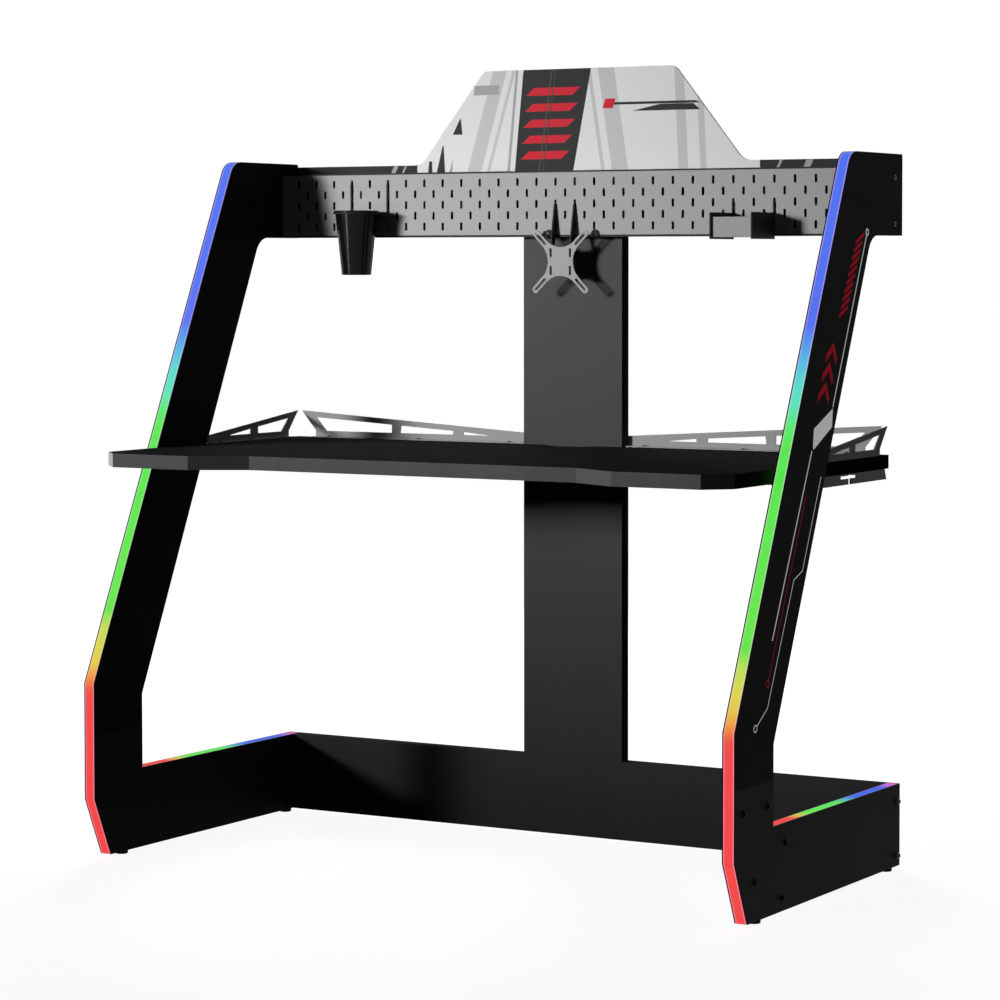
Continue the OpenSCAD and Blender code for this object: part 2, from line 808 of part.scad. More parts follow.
module rear_rail() {
    color([0.4, 0.4, 0.4])
        difference() {
            union() {
                sheet_at(rear_rail_y - rail_t, rear_rail_y)
                    rear_rail_shape();
                translate([rear_rail_in, rear_rail_y - rail_t - flange_w, desk_h])
                    cube([rear_rail_foot - rear_rail_in, flange_w + rail_t, rail_t]);
            }
            for (p = rail_screw_at)
                translate([p.x, p.y, 0])
                    bar_z(screw_d + 2 * fit, desk_h - over, desk_h + rail_t + over);
        }
}

module rail_screws() {
    color([0.1, 0.1, 0.1])
        for (s = [0, 1])
            mirror([s, 0, 0])
                for (p = rail_screw_at)
                    translate([p.x, p.y, desk_h + rail_t])
                        dome_bolt(screw_head_d, screw_head_h, screw_d, screw_l, screw_socket_share);
}

// Steel angles that carry the tabletop, bolted to the frames' inner faces
bracket_front = leg_front_at_desk + bracket_h / 2;
bracket_rear = desk_rear_y - flange_w + rail_t;
bracket_cut_share = 0.4;
bracket_cut = bracket_h * bracket_cut_share;
bracket_bolt_z = desk_low_h - bracket_h / 2 - rail_t / 2;
bracket_leg = leg_rear_at_desk - leg_front_at_desk;
bracket_bolt_share = [0.22, 0.5, 0.78];
bracket_bolt_y = [for (s = bracket_bolt_share) leg_front_at_desk + s * bracket_leg];
desk_screw_x = inner_x - bracket_w / 2;
desk_screw_share = [0.08, 0.38, 0.7, 0.93];
desk_screw_y = [for (s = desk_screw_share) bracket_front + s * (bracket_rear - bracket_front)];
// The hanging slot in the bracket's web
hang_z = desk_low_h - bracket_h + hang_rise;
hang_y = front_y + hang_place;
// Width of the notch over the hanging slot, as a multiple of the mouth's
notch_share = 1.9;

module desk_bracket() {
    color([0.08, 0.08, 0.08])
        difference() {
            union() {
                slab(inner_x - rail_t, inner_x)
                    polygon([[bracket_front, desk_low_h], [bracket_front, desk_low_h - bracket_h],
                        [bracket_rear, desk_low_h - bracket_h], [bracket_rear - bracket_cut, desk_low_h]]);
                translate([inner_x - bracket_w, bracket_front, desk_low_h - rail_t])
                    cube([bracket_w, bracket_rear - bracket_cut - bracket_front, rail_t]);
            }
            slab(inner_x - rail_t - over, inner_x + over) {
                translate([hang_y - hang_l / 2, hang_z])
                    square([hang_l, hang_h]);
                translate([hang_y, hang_z])
                    square([mouth_w * notch_share, desk_low_h - rail_t - hang_z]);
                translate([hang_y, desk_low_h - bracket_h - over])
                    square([mouth_w, hang_z - desk_low_h + bracket_h + 2 * over]);
            }
            for (y = bracket_bolt_y)
                translate([0, y, bracket_bolt_z])
                    bar_x(bolt_d + 2 * bolt_gap, inner_x - rail_t - over, inner_x + over);
            for (y = desk_screw_y)
                translate([desk_screw_x, y, 0])
                    bar_z(screw_d + 2 * fit, desk_low_h - rail_t - over, desk_low_h + over);
        }
}

module bracket_bolts() {
    color([0.15, 0.15, 0.15])
        for (s = [0, 1])
            mirror([s, 0, 0])
                for (y = bracket_bolt_y)
                    translate([inner_x - rail_t, y, bracket_bolt_z])
                        rotate([0, -90, 0])
                            dome_bolt(bolt_head_d, bolt_head_h, bolt_d, bracket_bolt_l);
}

module desk_screws() {
    color([0.15, 0.15, 0.15])
        for (s = [0, 1])
            mirror([s, 0, 0])
                for (y = desk_screw_y)
                    translate([desk_screw_x, y, desk_low_h - rail_t])
                        rotate([180, 0, 0])
                            dome_bolt(screw_head_d, screw_head_h, screw_d, screw_l, screw_socket_share);
}

// Hooks: a neck through a slot and a tail that drops behind the tool board
hook_y = panel_y - gap;
tail_y = panel_y + panel_t + gap;
neck_seat = 0.5;

// Neck and tail for the slot at height z, as part of an outline in [y, z]
module hook_shape(z) {
    neck_z = z - slot_h / 2 + neck_seat;
    translate([hook_y - over, neck_z])
        square([tail_y + tail_t - hook_y + over, neck_h]);
    translate([tail_y, neck_z - tail_drop])
        square([tail_t, neck_h + tail_drop]);
}

// Screen holder
screen_x = slot_pitch / 2;
plate_y = panel_y - vesa_out;
tab_z = [vesa_h - tab_h, vesa_h + tab_h];
arm_len = vesa_large / sqrt(2);
tip_share = 0.3;
web_share = 0.75;
// Radius of the hollow waists, which run tangent into the arms' edges
waist_r = (vesa_waist / sqrt(2) - vesa_arm_w / 2) / (1 - 1 / sqrt(2));

module plate_slot() {
    a = (vesa_small / 2 - vesa_slot_w) * sqrt(2);
    b = arm_len;
    translate([a, -vesa_slot_w / 2])
        square([b - a, vesa_slot_w]);
    for (r = [a, b])
        translate([r, 0])
            circle(d = vesa_slot_w, $fn = round_n);
}

// The plate's outline: four arms with round ends and hollow waists between them
module plate_shape() {
    tip = arm_len + vesa_slot_w * tip_share;
    difference() {
        union() {
            for (a = [45, 135, 225, 315])
                rotate(a) {
                    translate([0, -vesa_arm_w / 2])
                        square([tip, vesa_arm_w]);
                    translate([tip, 0])
                        circle(d = vesa_arm_w, $fn = round_n);
                }
            square(vesa_waist + waist_r + vesa_arm_w / sqrt(2), center = true);
        }
        for (a = [0, 90, 180, 270])
            rotate(a)
                translate([vesa_waist + waist_r, 0])
                    circle(r = waist_r, $fn = fine_n);
    }
}

module screen_plate() {
    color([0.5, 0.5, 0.51])
        sheet_at(plate_y, plate_y + vesa_t)
            translate([0, vesa_h])
                difference() {
                    plate_shape();
                    for (a = [45, 135, 225, 315])
                        rotate(a)
                            plate_slot();
                    for (x = [-screen_x, screen_x], z = tab_z)
                        translate([x, z - vesa_h])
                            square([hook_t + 2 * tab_room, tab_h + fit], center = true);
                }
}

module screen_hook(x) {
    back_y = plate_y + vesa_t;
    low_z = tab_z[0] - tab_h * web_share;
    web_z = tab_z[1] + tab_h / 2;
    color([0.12, 0.12, 0.12])
        slab(x - hook_t / 2, x + hook_t / 2) {
            polygon([[hook_y, row_z[2]], [hook_y - strap_t, row_z[2]], [back_y, head_low_h],
                [back_y, low_z], [back_y + web_d, low_z], [back_y + web_d, web_z],
                [hook_y, head_low_h]]);
            for (z = tab_z)
                translate([plate_y, z - tab_h / 2])
                    square([vesa_t + over, tab_h]);
            hook_shape(row_z[2]);
            hook_shape(row_z[0]);
        }
}

// Cup and its holder
// Slots between the board's end and the cup
cup_slots_in = 4.5;
cup_x = (cup_slots_in - half_n) * slot_pitch;
cup_y = panel_y - cup_rim_d / 2 - strap_d;
ring_z = row_z[3] - ring_drop;
cup_rim_z = ring_z + ring_t + gap;
ring_r = cup_rim_d / 2 + edge;
ring_hole_r = cup_top_d / 2 + gap;
cup_hook_x = [cup_x + slot_pitch, cup_x - slot_pitch];

module cup() {
    foot_r = cup_foot_d / 2;
    top_r = cup_top_d / 2;
    low_z = cup_rim_z - cup_h;
    top_z = cup_rim_z + cup_rim_t;
    rim_r = cup_rim_d / 2;
    inner_top = top_r - cup_wall;
    inner_foot = foot_r - cup_wall;
    color([0.03, 0.03, 0.03])
        translate([cup_x, cup_y, 0])
            rotate_extrude($fn = fine_n)
                polygon([[0, low_z], [foot_r - edge, low_z], [foot_r, low_z + edge], [top_r, cup_rim_z],
                    [rim_r, cup_rim_z], [rim_r, top_z - edge], [rim_r - edge, top_z],
                    [inner_top, top_z], [inner_foot, low_z + cup_wall], [0, low_z + cup_wall]]);
}

module cup_ring() {
    color([0.1, 0.1, 0.1])
        difference() {
            union() {
                translate([cup_x, cup_y, 0])
                    bar_z(2 * ring_r, ring_z, ring_z + ring_t);
                translate([cup_x - ring_r, cup_y, ring_z])
                    cube([2 * ring_r, hook_y - cup_y, ring_t]);
            }
            translate([cup_x, cup_y, ring_z - over])
                cylinder(r = ring_hole_r, h = ring_t + 2 * over, $fn = fine_n);
        }
}

module cup_hook(x) {
    color([0.1, 0.1, 0.1])
        slab(x - hook_t / 2, x + hook_t / 2) {
            translate([hook_y - strap_t, ring_z + ring_t])
                square([strap_t, row_z[4] - ring_z - ring_t]);
            hook_shape(row_z[4]);
            hook_shape(row_z[2]);
        }
}

// Storage tray
// Slots between the board's end and the tray's two side plates
tray_slots_in = [6.5, 4.5];
tray_x = [for (n = tray_slots_in) (half_n - n) * slot_pitch];
tray_z = row_z[1] + edge - tray_h;
tray_y = hook_y - tray_d;
pan_y = tray_y + tray_inset;
pan_z = tray_z + tray_lift;
tray_lip_share = 0.5;

module tray_hook(x) {
    color([0.06, 0.06, 0.06])
        slab(x - hook_t / 2, x + hook_t / 2) {
            translate([tray_y, tray_z])
                square([tray_d, tray_h]);
            translate([hook_y - strap_t, tray_z + tray_h - over])
                square([strap_t, row_z[2] - tray_z - tray_h + over]);
            hook_shape(row_z[2]);
            hook_shape(row_z[0]);
        }
}

module tray_pan() {
    x0 = tray_x[0] + hook_t / 2;
    w = tray_x[1] - tray_x[0] - hook_t;
    lip_h = tray_front_h * tray_lip_share;
    color([0.55, 0.55, 0.56])
        translate([x0, 0, 0])
            slab(0, w) {
                translate([pan_y, pan_z])
                    square([panel_t, tray_front_h]);
                translate([pan_y, pan_z])
                    square([tray_d - tray_inset - edge, panel_t]);
                translate([tray_y + tray_d - edge - panel_t, pan_z])
                    square([panel_t, lip_h]);
            }
}

// Floor glides, fasteners and dowels
module floor_glides() {
    color([0.05, 0.05, 0.05])
        for (s = [0, 1])
            mirror([s, 0, 0])
                for (y = glide_y)
                    translate([mid_x, y, 0])
                        rotate_extrude($fn = round_n)
                            polygon([[0, 0], [glide_d / 2 - edge, 0], [glide_d / 2, edge],
                                [glide_d / 2, glide_h], [glide_pin_d / 2, glide_h],
                                [glide_pin_d / 2, glide_h + glide_pin_l],
                                [0, glide_h + glide_pin_l]]);
}

module head_bolts() {
    color([0.12, 0.12, 0.12])
        for (s = [0, 1])
            mirror([s, 0, 0])
                for (z = head_bolt_z)
                    translate([outer_x, head_bolt_y, z])
                        rotate([0, 90, 0])
                            dome_bolt(bolt_head_d * small_head_d_share, bolt_head_h * small_head_h_share,
                                bolt_d, head_bolt_l);
}

module head_nuts() {
    color([0.6, 0.6, 0.6])
        for (s = [0, 1])
            mirror([s, 0, 0])
                for (z = head_bolt_z)
                    translate([panel_w / 2 - panel_t - nut_t, head_bolt_y, z])
                        rotate([0, 90, 0])
                            difference() {
                                cylinder(d = nut_d, h = nut_t, $fn = hex_n);
                                translate([0, 0, -over])
                                    cylinder(d = bolt_d + bolt_gap, h = nut_t + 2 * over, $fn = round_n);
                            }
}

module beam_bolts() {
    color([0.12, 0.12, 0.12])
        for (s = [0, 1])
            mirror([s, 0, 0])
                for (z = beam_bolt_z)
                    translate([outer_x, beam_mid_y, z])
                        rotate([0, 90, 0])
                            dome_bolt(bolt_head_d, bolt_head_h, bolt_d, beam_bolt_l);
}

module barrel_nuts() {
    color([0.6, 0.6, 0.6])
        for (s = [0, 1])
            mirror([s, 0, 0])
                for (z = beam_bolt_z)
                    translate([barrel_x, beam_mid_y, z])
                        difference() {
                            bar_y(barrel_d, -barrel_l / 2, barrel_l / 2);
                            bar_x(bolt_d + bolt_gap, -barrel_d, barrel_d);
                        }
}

module board_bolts() {
    color([0.15, 0.15, 0.15])
        for (p = knobs)
            translate([p.x, panel_y, p.y])
                rotate([90, 0, 0])
                    dome_bolt(knob_d, knob_h, knob_shank_d, knob_shank_l, 0);
}

module frame_dowels() {
    color([0.75, 0.6, 0.4])
        for (s = [0, 1])
            mirror([s, 0, 0])
                for (y = dowel_y)
                    translate([mid_x, y, 0])
                        bar_z(dowel_d, split_h - dowel_l / 2, split_h + dowel_l / 2);
}

module column_dowels() {
    color([0.75, 0.6, 0.4])
        for (s = column_dowel_share)
            translate([col_w * s, beam_mid_y, 0])
                bar_z(dowel_d, foot_h - dowel_l / 2, foot_h + dowel_l / 2);
}

module frame_caps() {
    color([0.02, 0.02, 0.02])
        for (s = [0, 1])
            mirror([s, 0, 0])
                for (p = caps)
                    translate([outer_x, p.x, p.y])
                        rotate([0, 90, 0])
                            dome_bolt(cap_d, cap_h, cap_pin_d, cap_pin_l, 0);
}

arm();  // right_arm
mirrored() arm();  // left_arm
foot();  // right_foot
mirrored() foot();  // left_foot
front_light();  // right_front_light
mirrored() front_light();  // left_front_light
foot_light();  // right_foot_light
mirrored() foot_light();  // left_foot_light
front_tape();  // right_front_tape
mirrored() front_tape();  // left_front_tape
foot_tape();  // right_foot_tape
mirrored() foot_tape();  // left_foot_tape
rear_beam();
column();
tool_board();
board_edges();
display_sheet();
tabletop();
side_rail();  // right_side_rail
mirrored() side_rail();  // left_side_rail
rear_rail();  // right_rear_rail
mirrored() rear_rail();  // left_rear_rail
desk_bracket();  // right_desk_bracket
mirrored() desk_bracket();  // left_desk_bracket
screen_plate();
screen_hook(screen_x);  // screen_hook_right
screen_hook(-screen_x);  // screen_hook_left
cup();
cup_ring();
cup_hook(cup_hook_x[0]);  // cup_hook_right
cup_hook(cup_hook_x[1]);  // cup_hook_left
tray_pan();
tray_hook(tray_x[1]);  // tray_hook_right
tray_hook(tray_x[0]);  // tray_hook_left
floor_glides();
head_bolts();
head_nuts();
beam_bolts();
barrel_nuts();
board_bolts();
frame_dowels();
column_dowels();
frame_caps();
bracket_bolts();
desk_screws();
rail_screws();
sheet_screws();
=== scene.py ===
"""Dresses the gaming desk's frame: coated boards, lit edges, slotted steel, holders and a studio stage."""

import math

import bmesh
import bpy
from bpy.props import FloatProperty, FloatVectorProperty, IntProperty, PointerProperty
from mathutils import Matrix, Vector


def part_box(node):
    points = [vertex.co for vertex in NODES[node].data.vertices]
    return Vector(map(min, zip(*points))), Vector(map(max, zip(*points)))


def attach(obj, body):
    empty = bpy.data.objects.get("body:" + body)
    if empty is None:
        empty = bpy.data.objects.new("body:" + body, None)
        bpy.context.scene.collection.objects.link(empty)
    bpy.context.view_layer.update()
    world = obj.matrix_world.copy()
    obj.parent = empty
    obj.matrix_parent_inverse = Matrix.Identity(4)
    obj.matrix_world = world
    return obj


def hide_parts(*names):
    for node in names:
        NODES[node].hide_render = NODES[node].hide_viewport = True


bl_info = {
    "name": "Gaming desk dresser",
    "version": (1, 0, 0),
    "blender": (4, 5, 0),
    "location": "View3D > Sidebar > Desk",
    "description": "Gives the gaming desk its finishes, light strips, printed lines and stage",
    "category": "Object",
}

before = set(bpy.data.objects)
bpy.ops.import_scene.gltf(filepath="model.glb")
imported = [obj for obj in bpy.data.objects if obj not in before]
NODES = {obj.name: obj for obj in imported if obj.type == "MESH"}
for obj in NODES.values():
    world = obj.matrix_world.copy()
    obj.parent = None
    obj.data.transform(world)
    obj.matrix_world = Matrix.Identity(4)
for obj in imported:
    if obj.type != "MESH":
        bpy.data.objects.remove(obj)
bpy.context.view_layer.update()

BOARD = "desk"
MM = 0.001
OUTER_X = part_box("right_arm")[1].x
INNER_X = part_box("right_arm")[0].x
FRAME_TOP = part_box("right_arm")[1].z
REAR_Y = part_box("right_arm")[1].y
# Farther out than any part of the desk, for bands that have no end of their own
BEYOND = 1.0


# Settings


class DeskFinishes(bpy.types.PropertyGroup):
    """Colours of the desk's finishes."""

    frame_colour: FloatVectorProperty(
        name="Frame coating", description="Colour of the side frames", subtype="COLOR",
        default=(0.014, 0.014, 0.015), min=0, max=1)
    rear_colour: FloatVectorProperty(
        name="Rear boards", description="Colour of the column and the rear beam", subtype="COLOR",
        default=(0.105, 0.105, 0.106), min=0, max=1)
    top_colour: FloatVectorProperty(
        name="Tabletop", description="Colour of the tabletop", subtype="COLOR",
        default=(0.066, 0.066, 0.067), min=0, max=1)
    steel_colour: FloatVectorProperty(
        name="Grey steel", description="Colour of the tool board, rails and plates", subtype="COLOR",
        default=(0.47, 0.47, 0.475), min=0, max=1)
    dark_steel_colour: FloatVectorProperty(
        name="Dark steel", description="Colour of the hooks and brackets", subtype="COLOR",
        default=(0.022, 0.022, 0.023), min=0, max=1)
    cup_colour: FloatVectorProperty(
        name="Cup", description="Colour of the glossy cup", subtype="COLOR",
        default=(0.005, 0.005, 0.0055), min=0, max=1)
    sheet_colour: FloatVectorProperty(
        name="Display sheet", description="Ground colour of the display sheet", subtype="COLOR",
        default=(0.84, 0.84, 0.845), min=0, max=1)
    line_colour: FloatVectorProperty(
        name="Pale lines", description="Colour of the pale printed lines", subtype="COLOR",
        default=(0.38, 0.38, 0.385), min=0, max=1)
    accent_colour: FloatVectorProperty(
        name="Red accents", description="Colour of the red printed lines and panels", subtype="COLOR",
        default=(0.70, 0.022, 0.040), min=0, max=1)


class DeskSizes(bpy.types.PropertyGroup):
    """Sizes of the details that the scene adds."""

    board_round: FloatProperty(
        name="Board edge", description="Rounding of the boards' edges", subtype="DISTANCE",
        unit="LENGTH", default=1.0 * MM, min=0.2 * MM, max=2 * MM)
    line_width: FloatProperty(
        name="Line width", description="Width of the pale printed lines", subtype="DISTANCE",
        unit="LENGTH", default=3.0 * MM, min=1 * MM, max=8 * MM)
    print_lift: FloatProperty(
        name="Print thickness", description="How far printed lines stand off their board",
        subtype="DISTANCE", unit="LENGTH", default=0.12 * MM, min=0.05 * MM, max=0.5 * MM)
    ring_size: FloatProperty(
        name="Ring size", description="Outer radius of the rings at the lines' ends",
        subtype="DISTANCE", unit="LENGTH", default=6.5 * MM, min=3 * MM, max=12 * MM)
    hatch_count: IntProperty(
        name="Hatches", description="Number of slanted hatches on each frame", default=10, min=3, max=20)


class DeskLights(bpy.types.PropertyGroup):
    """Strength of the lamps and of the light strips."""

    strip_strength: FloatProperty(
        name="Strip strength", description="Emission strength of the light strips", default=1.0, min=0)
    # The print's glow is painted light: the print is no lamp
    painted_print_glow: FloatProperty(
        name="Print glow", description="Emission strength of the print on the frames", default=0.85, min=0)
    key_power: FloatProperty(
        name="Key lamp", description="Power of the far lamp in front, on the left", subtype="POWER",
        unit="POWER", default=8.6, min=0)
    streak_power: FloatProperty(
        name="Streak lamp", description="Power of the small lamp that the cup mirrors",
        subtype="POWER", unit="POWER", default=0.06, min=0)
    rear_power: FloatProperty(
        name="Rear lamp", description="Power of the lamp behind the desk", subtype="POWER",
        unit="POWER", default=60.0, min=0)
    fill: FloatProperty(
        name="Fill", description="Strength of the even fill light", default=0.013, min=0)


def finishes():
    return bpy.context.scene.desk_finishes


def sizes():
    return bpy.context.scene.desk_sizes


def lights():
    return bpy.context.scene.desk_lights


# Node helpers

# Places of a colour Mix node's sockets
MIX_FACTOR, MIX_A, MIX_B, MIX_RESULT = 0, 6, 7, 2


def socket_in(tree, name, kind, value=None):
    item = tree.interface.new_socket(name=name, in_out="INPUT", socket_type=kind)
    if value is not None:
        item.default_value = value


def socket_out(tree, name, kind):
    tree.interface.new_socket(name=name, in_out="OUTPUT", socket_type=kind)


def feed(tree, value, target):
    """Sets an input to a number or a colour, or links a socket to it."""
    if isinstance(value, (int, float)):
        target.default_value = value
    elif isinstance(value, (tuple, list)):
        target.default_value = (*value[:3], 1.0)
    else:
        tree.links.new(value, target)


def math_node(tree, operation, a, b=None, c=None, clamp=False):
    """Adds a Math node; a, b and c are sockets or plain numbers. Returns its output."""
    node = tree.nodes.new("ShaderNodeMath")
    node.operation = operation
    node.use_clamp = clamp
    for slot, value in enumerate((a, b, c)):
        if value is not None:
            feed(tree, value, node.inputs[slot])
    return node.outputs[0]


def mix_colour(tree, factor, a, b):
    """Mixes two colours, given as sockets or tuples. Returns the colour output."""
    node = tree.nodes.new("ShaderNodeMix")
    node.data_type = "RGBA"
    for index, value in ((MIX_FACTOR, factor), (MIX_A, a), (MIX_B, b)):
        feed(tree, value, node.inputs[index])
    return node.outputs[MIX_RESULT]


def shaded(tree, colour, factor):
    """Multiplies a colour by a number, both given as sockets."""
    node = tree.nodes.new("ShaderNodeVectorMath")
    node.operation = "SCALE"
    tree.links.new(colour, node.inputs[0])
    tree.links.new(factor, node.inputs["Scale"])
    return node.outputs[0]


def noise(tree, place, scale, detail=2.0):
    """Adds a noise texture; its scale is a socket or a number. Returns its value."""
    node = tree.nodes.new("ShaderNodeTexNoise")
    node.inputs["Detail"].default_value = detail
    tree.links.new(place, node.inputs["Vector"])
    feed(tree, scale, node.inputs["Scale"])
    return node.outputs["Fac"]


def split(tree, vector):
    """The x, y and z of a vector."""
    node = tree.nodes.new("ShaderNodeSeparateXYZ")
    tree.links.new(vector, node.inputs[0])
    return node.outputs["X"], node.outputs["Y"], node.outputs["Z"]


# Shader groups

GRAIN_DETAIL = 3.0
CLOUD_SCALE, CLOUD_DETAIL = 7.0, 5.0
# How much the clouds change the roughness
CLOUD_ROUGHNESS = 0.12
# The noise's middle value
NOISE_MIDDLE = 0.5


def new_group(name):
    tree = bpy.data.node_groups.new(name, "ShaderNodeTree")
    return tree, tree.nodes.new("NodeGroupInput"), tree.nodes.new("NodeGroupOutput")


def coating_group():
    """A fine-grained coating: colour that varies a little, a grain height and a roughness."""
    name = "fine_coating"
    if name in bpy.data.node_groups:
        return bpy.data.node_groups[name]
    tree, start, end = new_group(name)
    socket_in(tree, "Vector", "NodeSocketVector")
    socket_in(tree, "Colour", "NodeSocketColor", (0.1, 0.1, 0.1, 1))
    for label, value in (("Grain Scale", 900.0), ("Cloud Amount", 0.12), ("Grain Amount", 0.15),
                         ("Roughness", 0.5)):
        socket_in(tree, label, "NodeSocketFloat", value)
    for label, kind in (("Colour", "NodeSocketColor"), ("Roughness", "NodeSocketFloat"),
                        ("Height", "NodeSocketFloat")):
        socket_out(tree, label, kind)
    given = start.outputs
    grain = noise(tree, given["Vector"], given["Grain Scale"], GRAIN_DETAIL)
    cloud = noise(tree, given["Vector"], CLOUD_SCALE, CLOUD_DETAIL)
    cloud_off = math_node(tree, "SUBTRACT", cloud, NOISE_MIDDLE)
    grain_off = math_node(tree, "SUBTRACT", grain, NOISE_MIDDLE)
    shade = math_node(tree, "MULTIPLY_ADD", cloud_off, given["Cloud Amount"], 1.0)
    shade = math_node(tree, "MULTIPLY_ADD", grain_off, given["Grain Amount"], shade)
    tree.links.new(shaded(tree, given["Colour"], shade), end.inputs["Colour"])
    rough = math_node(tree, "MULTIPLY_ADD", cloud_off, CLOUD_ROUGHNESS, given["Roughness"])
    tree.links.new(rough, end.inputs["Roughness"])
    tree.links.new(grain, end.inputs["Height"])
    return tree


def band_group():
    """A slanted band between two heights: 1 inside, 0 outside."""
    name = "slanted_band"
    if name in bpy.data.node_groups:
        return bpy.data.node_groups[name]
    tree, start, end = new_group(name)
    socket_in(tree, "Across", "NodeSocketFloat")
    socket_in(tree, "Height", "NodeSocketFloat")
    for label, value in (("Left", -0.1), ("Right", 0.1), ("Left Slant", 0.0), ("Right Slant", 0.0),
                         ("Bottom", 0.0), ("Top", 1.0), ("Softness", 0.6 * MM)):
        socket_in(tree, label, "NodeSocketFloat", value)
    socket_out(tree, "Mask", "NodeSocketFloat")
    given = start.outputs
    rise = math_node(tree, "SUBTRACT", given["Height"], given["Bottom"])

    def step(value, edge):
        gap = math_node(tree, "SUBTRACT", value, edge)
        return math_node(tree, "DIVIDE", gap, given["Softness"], clamp=True)

    left = math_node(tree, "MULTIPLY_ADD", rise, given["Left Slant"], given["Left"])
    right = math_node(tree, "MULTIPLY_ADD", rise, given["Right Slant"], given["Right"])
    mask = math_node(tree, "MULTIPLY", step(given["Across"], left), step(right, given["Across"]))
    mask = math_node(tree, "MULTIPLY", mask, step(given["Height"], given["Bottom"]))
    mask = math_node(tree, "MULTIPLY", mask, step(given["Top"], given["Height"]))
    tree.links.new(mask, end.inputs["Mask"])
    return tree


def place_group(tree, group, **values):
    """Adds a group node and sets its inputs from sockets, numbers or colours."""
    node = tree.nodes.new("ShaderNodeGroup")
    node.node_tree = group
    for label, value in values.items():
        feed(tree, value, node.inputs[label.replace("_", " ")])
    return node


# Materials

# A face whose normal has less than this along y is a cut edge of an upright sheet
CUT_EDGE = 0.5


def new_material(name):
    """A material with a Principled shader; returns (material, tree, shader, object coordinates)."""
    material = bpy.data.materials.new(name)
    material.use_nodes = True
    tree = material.node_tree
    shader = tree.nodes["Principled BSDF"]
    coordinates = tree.nodes.new("ShaderNodeTexCoord").outputs["Object"]
    return material, tree, shader, coordinates


def turned_away(tree):
    """1 where a face doesn't look to the front or the back, as on a sheet's cut edges."""
    facing = split(tree, tree.nodes["Texture Coordinate"].outputs["Normal"])
    return math_node(tree, "LESS_THAN", math_node(tree, "ABSOLUTE", facing[1]), CUT_EDGE)


def add_bump(tree, shader, height, strength, distance):
    bump = tree.nodes.new("ShaderNodeBump")
    bump.inputs["Strength"].default_value = strength
    bump.inputs["Distance"].default_value = distance
    tree.links.new(height, bump.inputs["Height"])
    tree.links.new(bump.outputs["Normal"], shader.inputs["Normal"])


def coated(name, colour, roughness, specular, grain_scale=900.0, grain=0.15, cloud=0.12,
           bump=0.25, bump_depth=0.1 * MM, metallic=0.0):
    """A coated, painted or metal surface with a fine grain."""
    if name in bpy.data.materials:
        return bpy.data.materials[name]
    material, tree, shader, place = new_material(name)
    node = place_group(tree, coating_group(), Vector=place, Colour=tuple(colour), Grain_Scale=grain_scale,
                       Cloud_Amount=cloud, Grain_Amount=grain, Roughness=roughness)
    tree.links.new(node.outputs["Colour"], shader.inputs["Base Color"])
    tree.links.new(node.outputs["Roughness"], shader.inputs["Roughness"])
    shader.inputs["Specular IOR Level"].default_value = specular
    shader.inputs["Metallic"].default_value = metallic
    add_bump(tree, shader, node.outputs["Height"], bump, bump_depth)
    return material


def scaled(colour, share):
    """A colour times a number."""
    return tuple(share * value for value in colour)


def set_material(thing, material):
    thing.data.materials.clear()
    thing.data.materials.append(material)


def dress(names, material):
    for name in names:
        set_material(NODES[name], material)


# Mesh helpers

# Vertices closer than this are one
WELD = 0.005 * MM
# Faces that meet at less than this are one flat face, and edges sharper than the second are rounded (degrees)
FLAT_ANGLE, ROUNDED_ANGLE = 0.5, 40
# Turned pieces keep the edges that are sharper than this (degrees)
SHARP_ANGLE = 35


def add_piece(mesh, name, body, material):
    thing = bpy.data.objects.new(name, mesh)
    bpy.context.scene.collection.objects.link(thing)
    set_material(thing, material)
    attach(thing, body)
    return thing


def rounded_copy(node, name, width, material, segments=2, body=BOARD):
    """A merged copy of a CAD node whose edges are rounded; it replaces the node."""
    mesh = NODES[node].data.copy()
    mesh.name = name
    build = bmesh.new()
    build.from_mesh(mesh)
    bmesh.ops.remove_doubles(build, verts=build.verts, dist=WELD)
    bmesh.ops.dissolve_limit(build, angle_limit=math.radians(FLAT_ANGLE), verts=build.verts,
                             edges=build.edges)
    for face in build.faces:
        face.smooth = False
    build.to_mesh(mesh)
    build.free()
    thing = add_piece(mesh, name, body, material)
    rounding = thing.modifiers.new("edge rounding", "BEVEL")
    rounding.width = width
    rounding.segments = segments
    rounding.limit_method = "ANGLE"
    rounding.angle_limit = math.radians(ROUNDED_ANGLE)
    rounding.harden_normals = True
    rounding.miter_outer = "MITER_SHARP"
    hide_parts(node)
    return thing


def smooth_round(names):
    """Smooth shading on turned pieces, with their real edges kept."""
    for name in names:
        mesh = NODES[name].data
        for face in mesh.polygons:
            face.use_smooth = True
        mesh.set_sharp_from_angle(angle=math.radians(SHARP_ANGLE))


# Boards

# Shares of the board rounding: thin frame boards, and the column and the beam
FRAME_ROUND, REAR_ROUND = 0.8, 0.6
# The feet are painted a little paler than the arms, for the light that the floor throws on them, and the
# tabletop's edge band is darker than its face
FOOT_FLOOR_LIGHT, BAND_SHADE = 1.3, 0.35
# The band covers faces whose normal has less than this along z, and less than the second along x.
# Edges that face right keep the top's matte coat: splitting the band by side paints light and shade
BAND_UPRIGHT, BAND_LEFTWARD = 0.5, 0.2


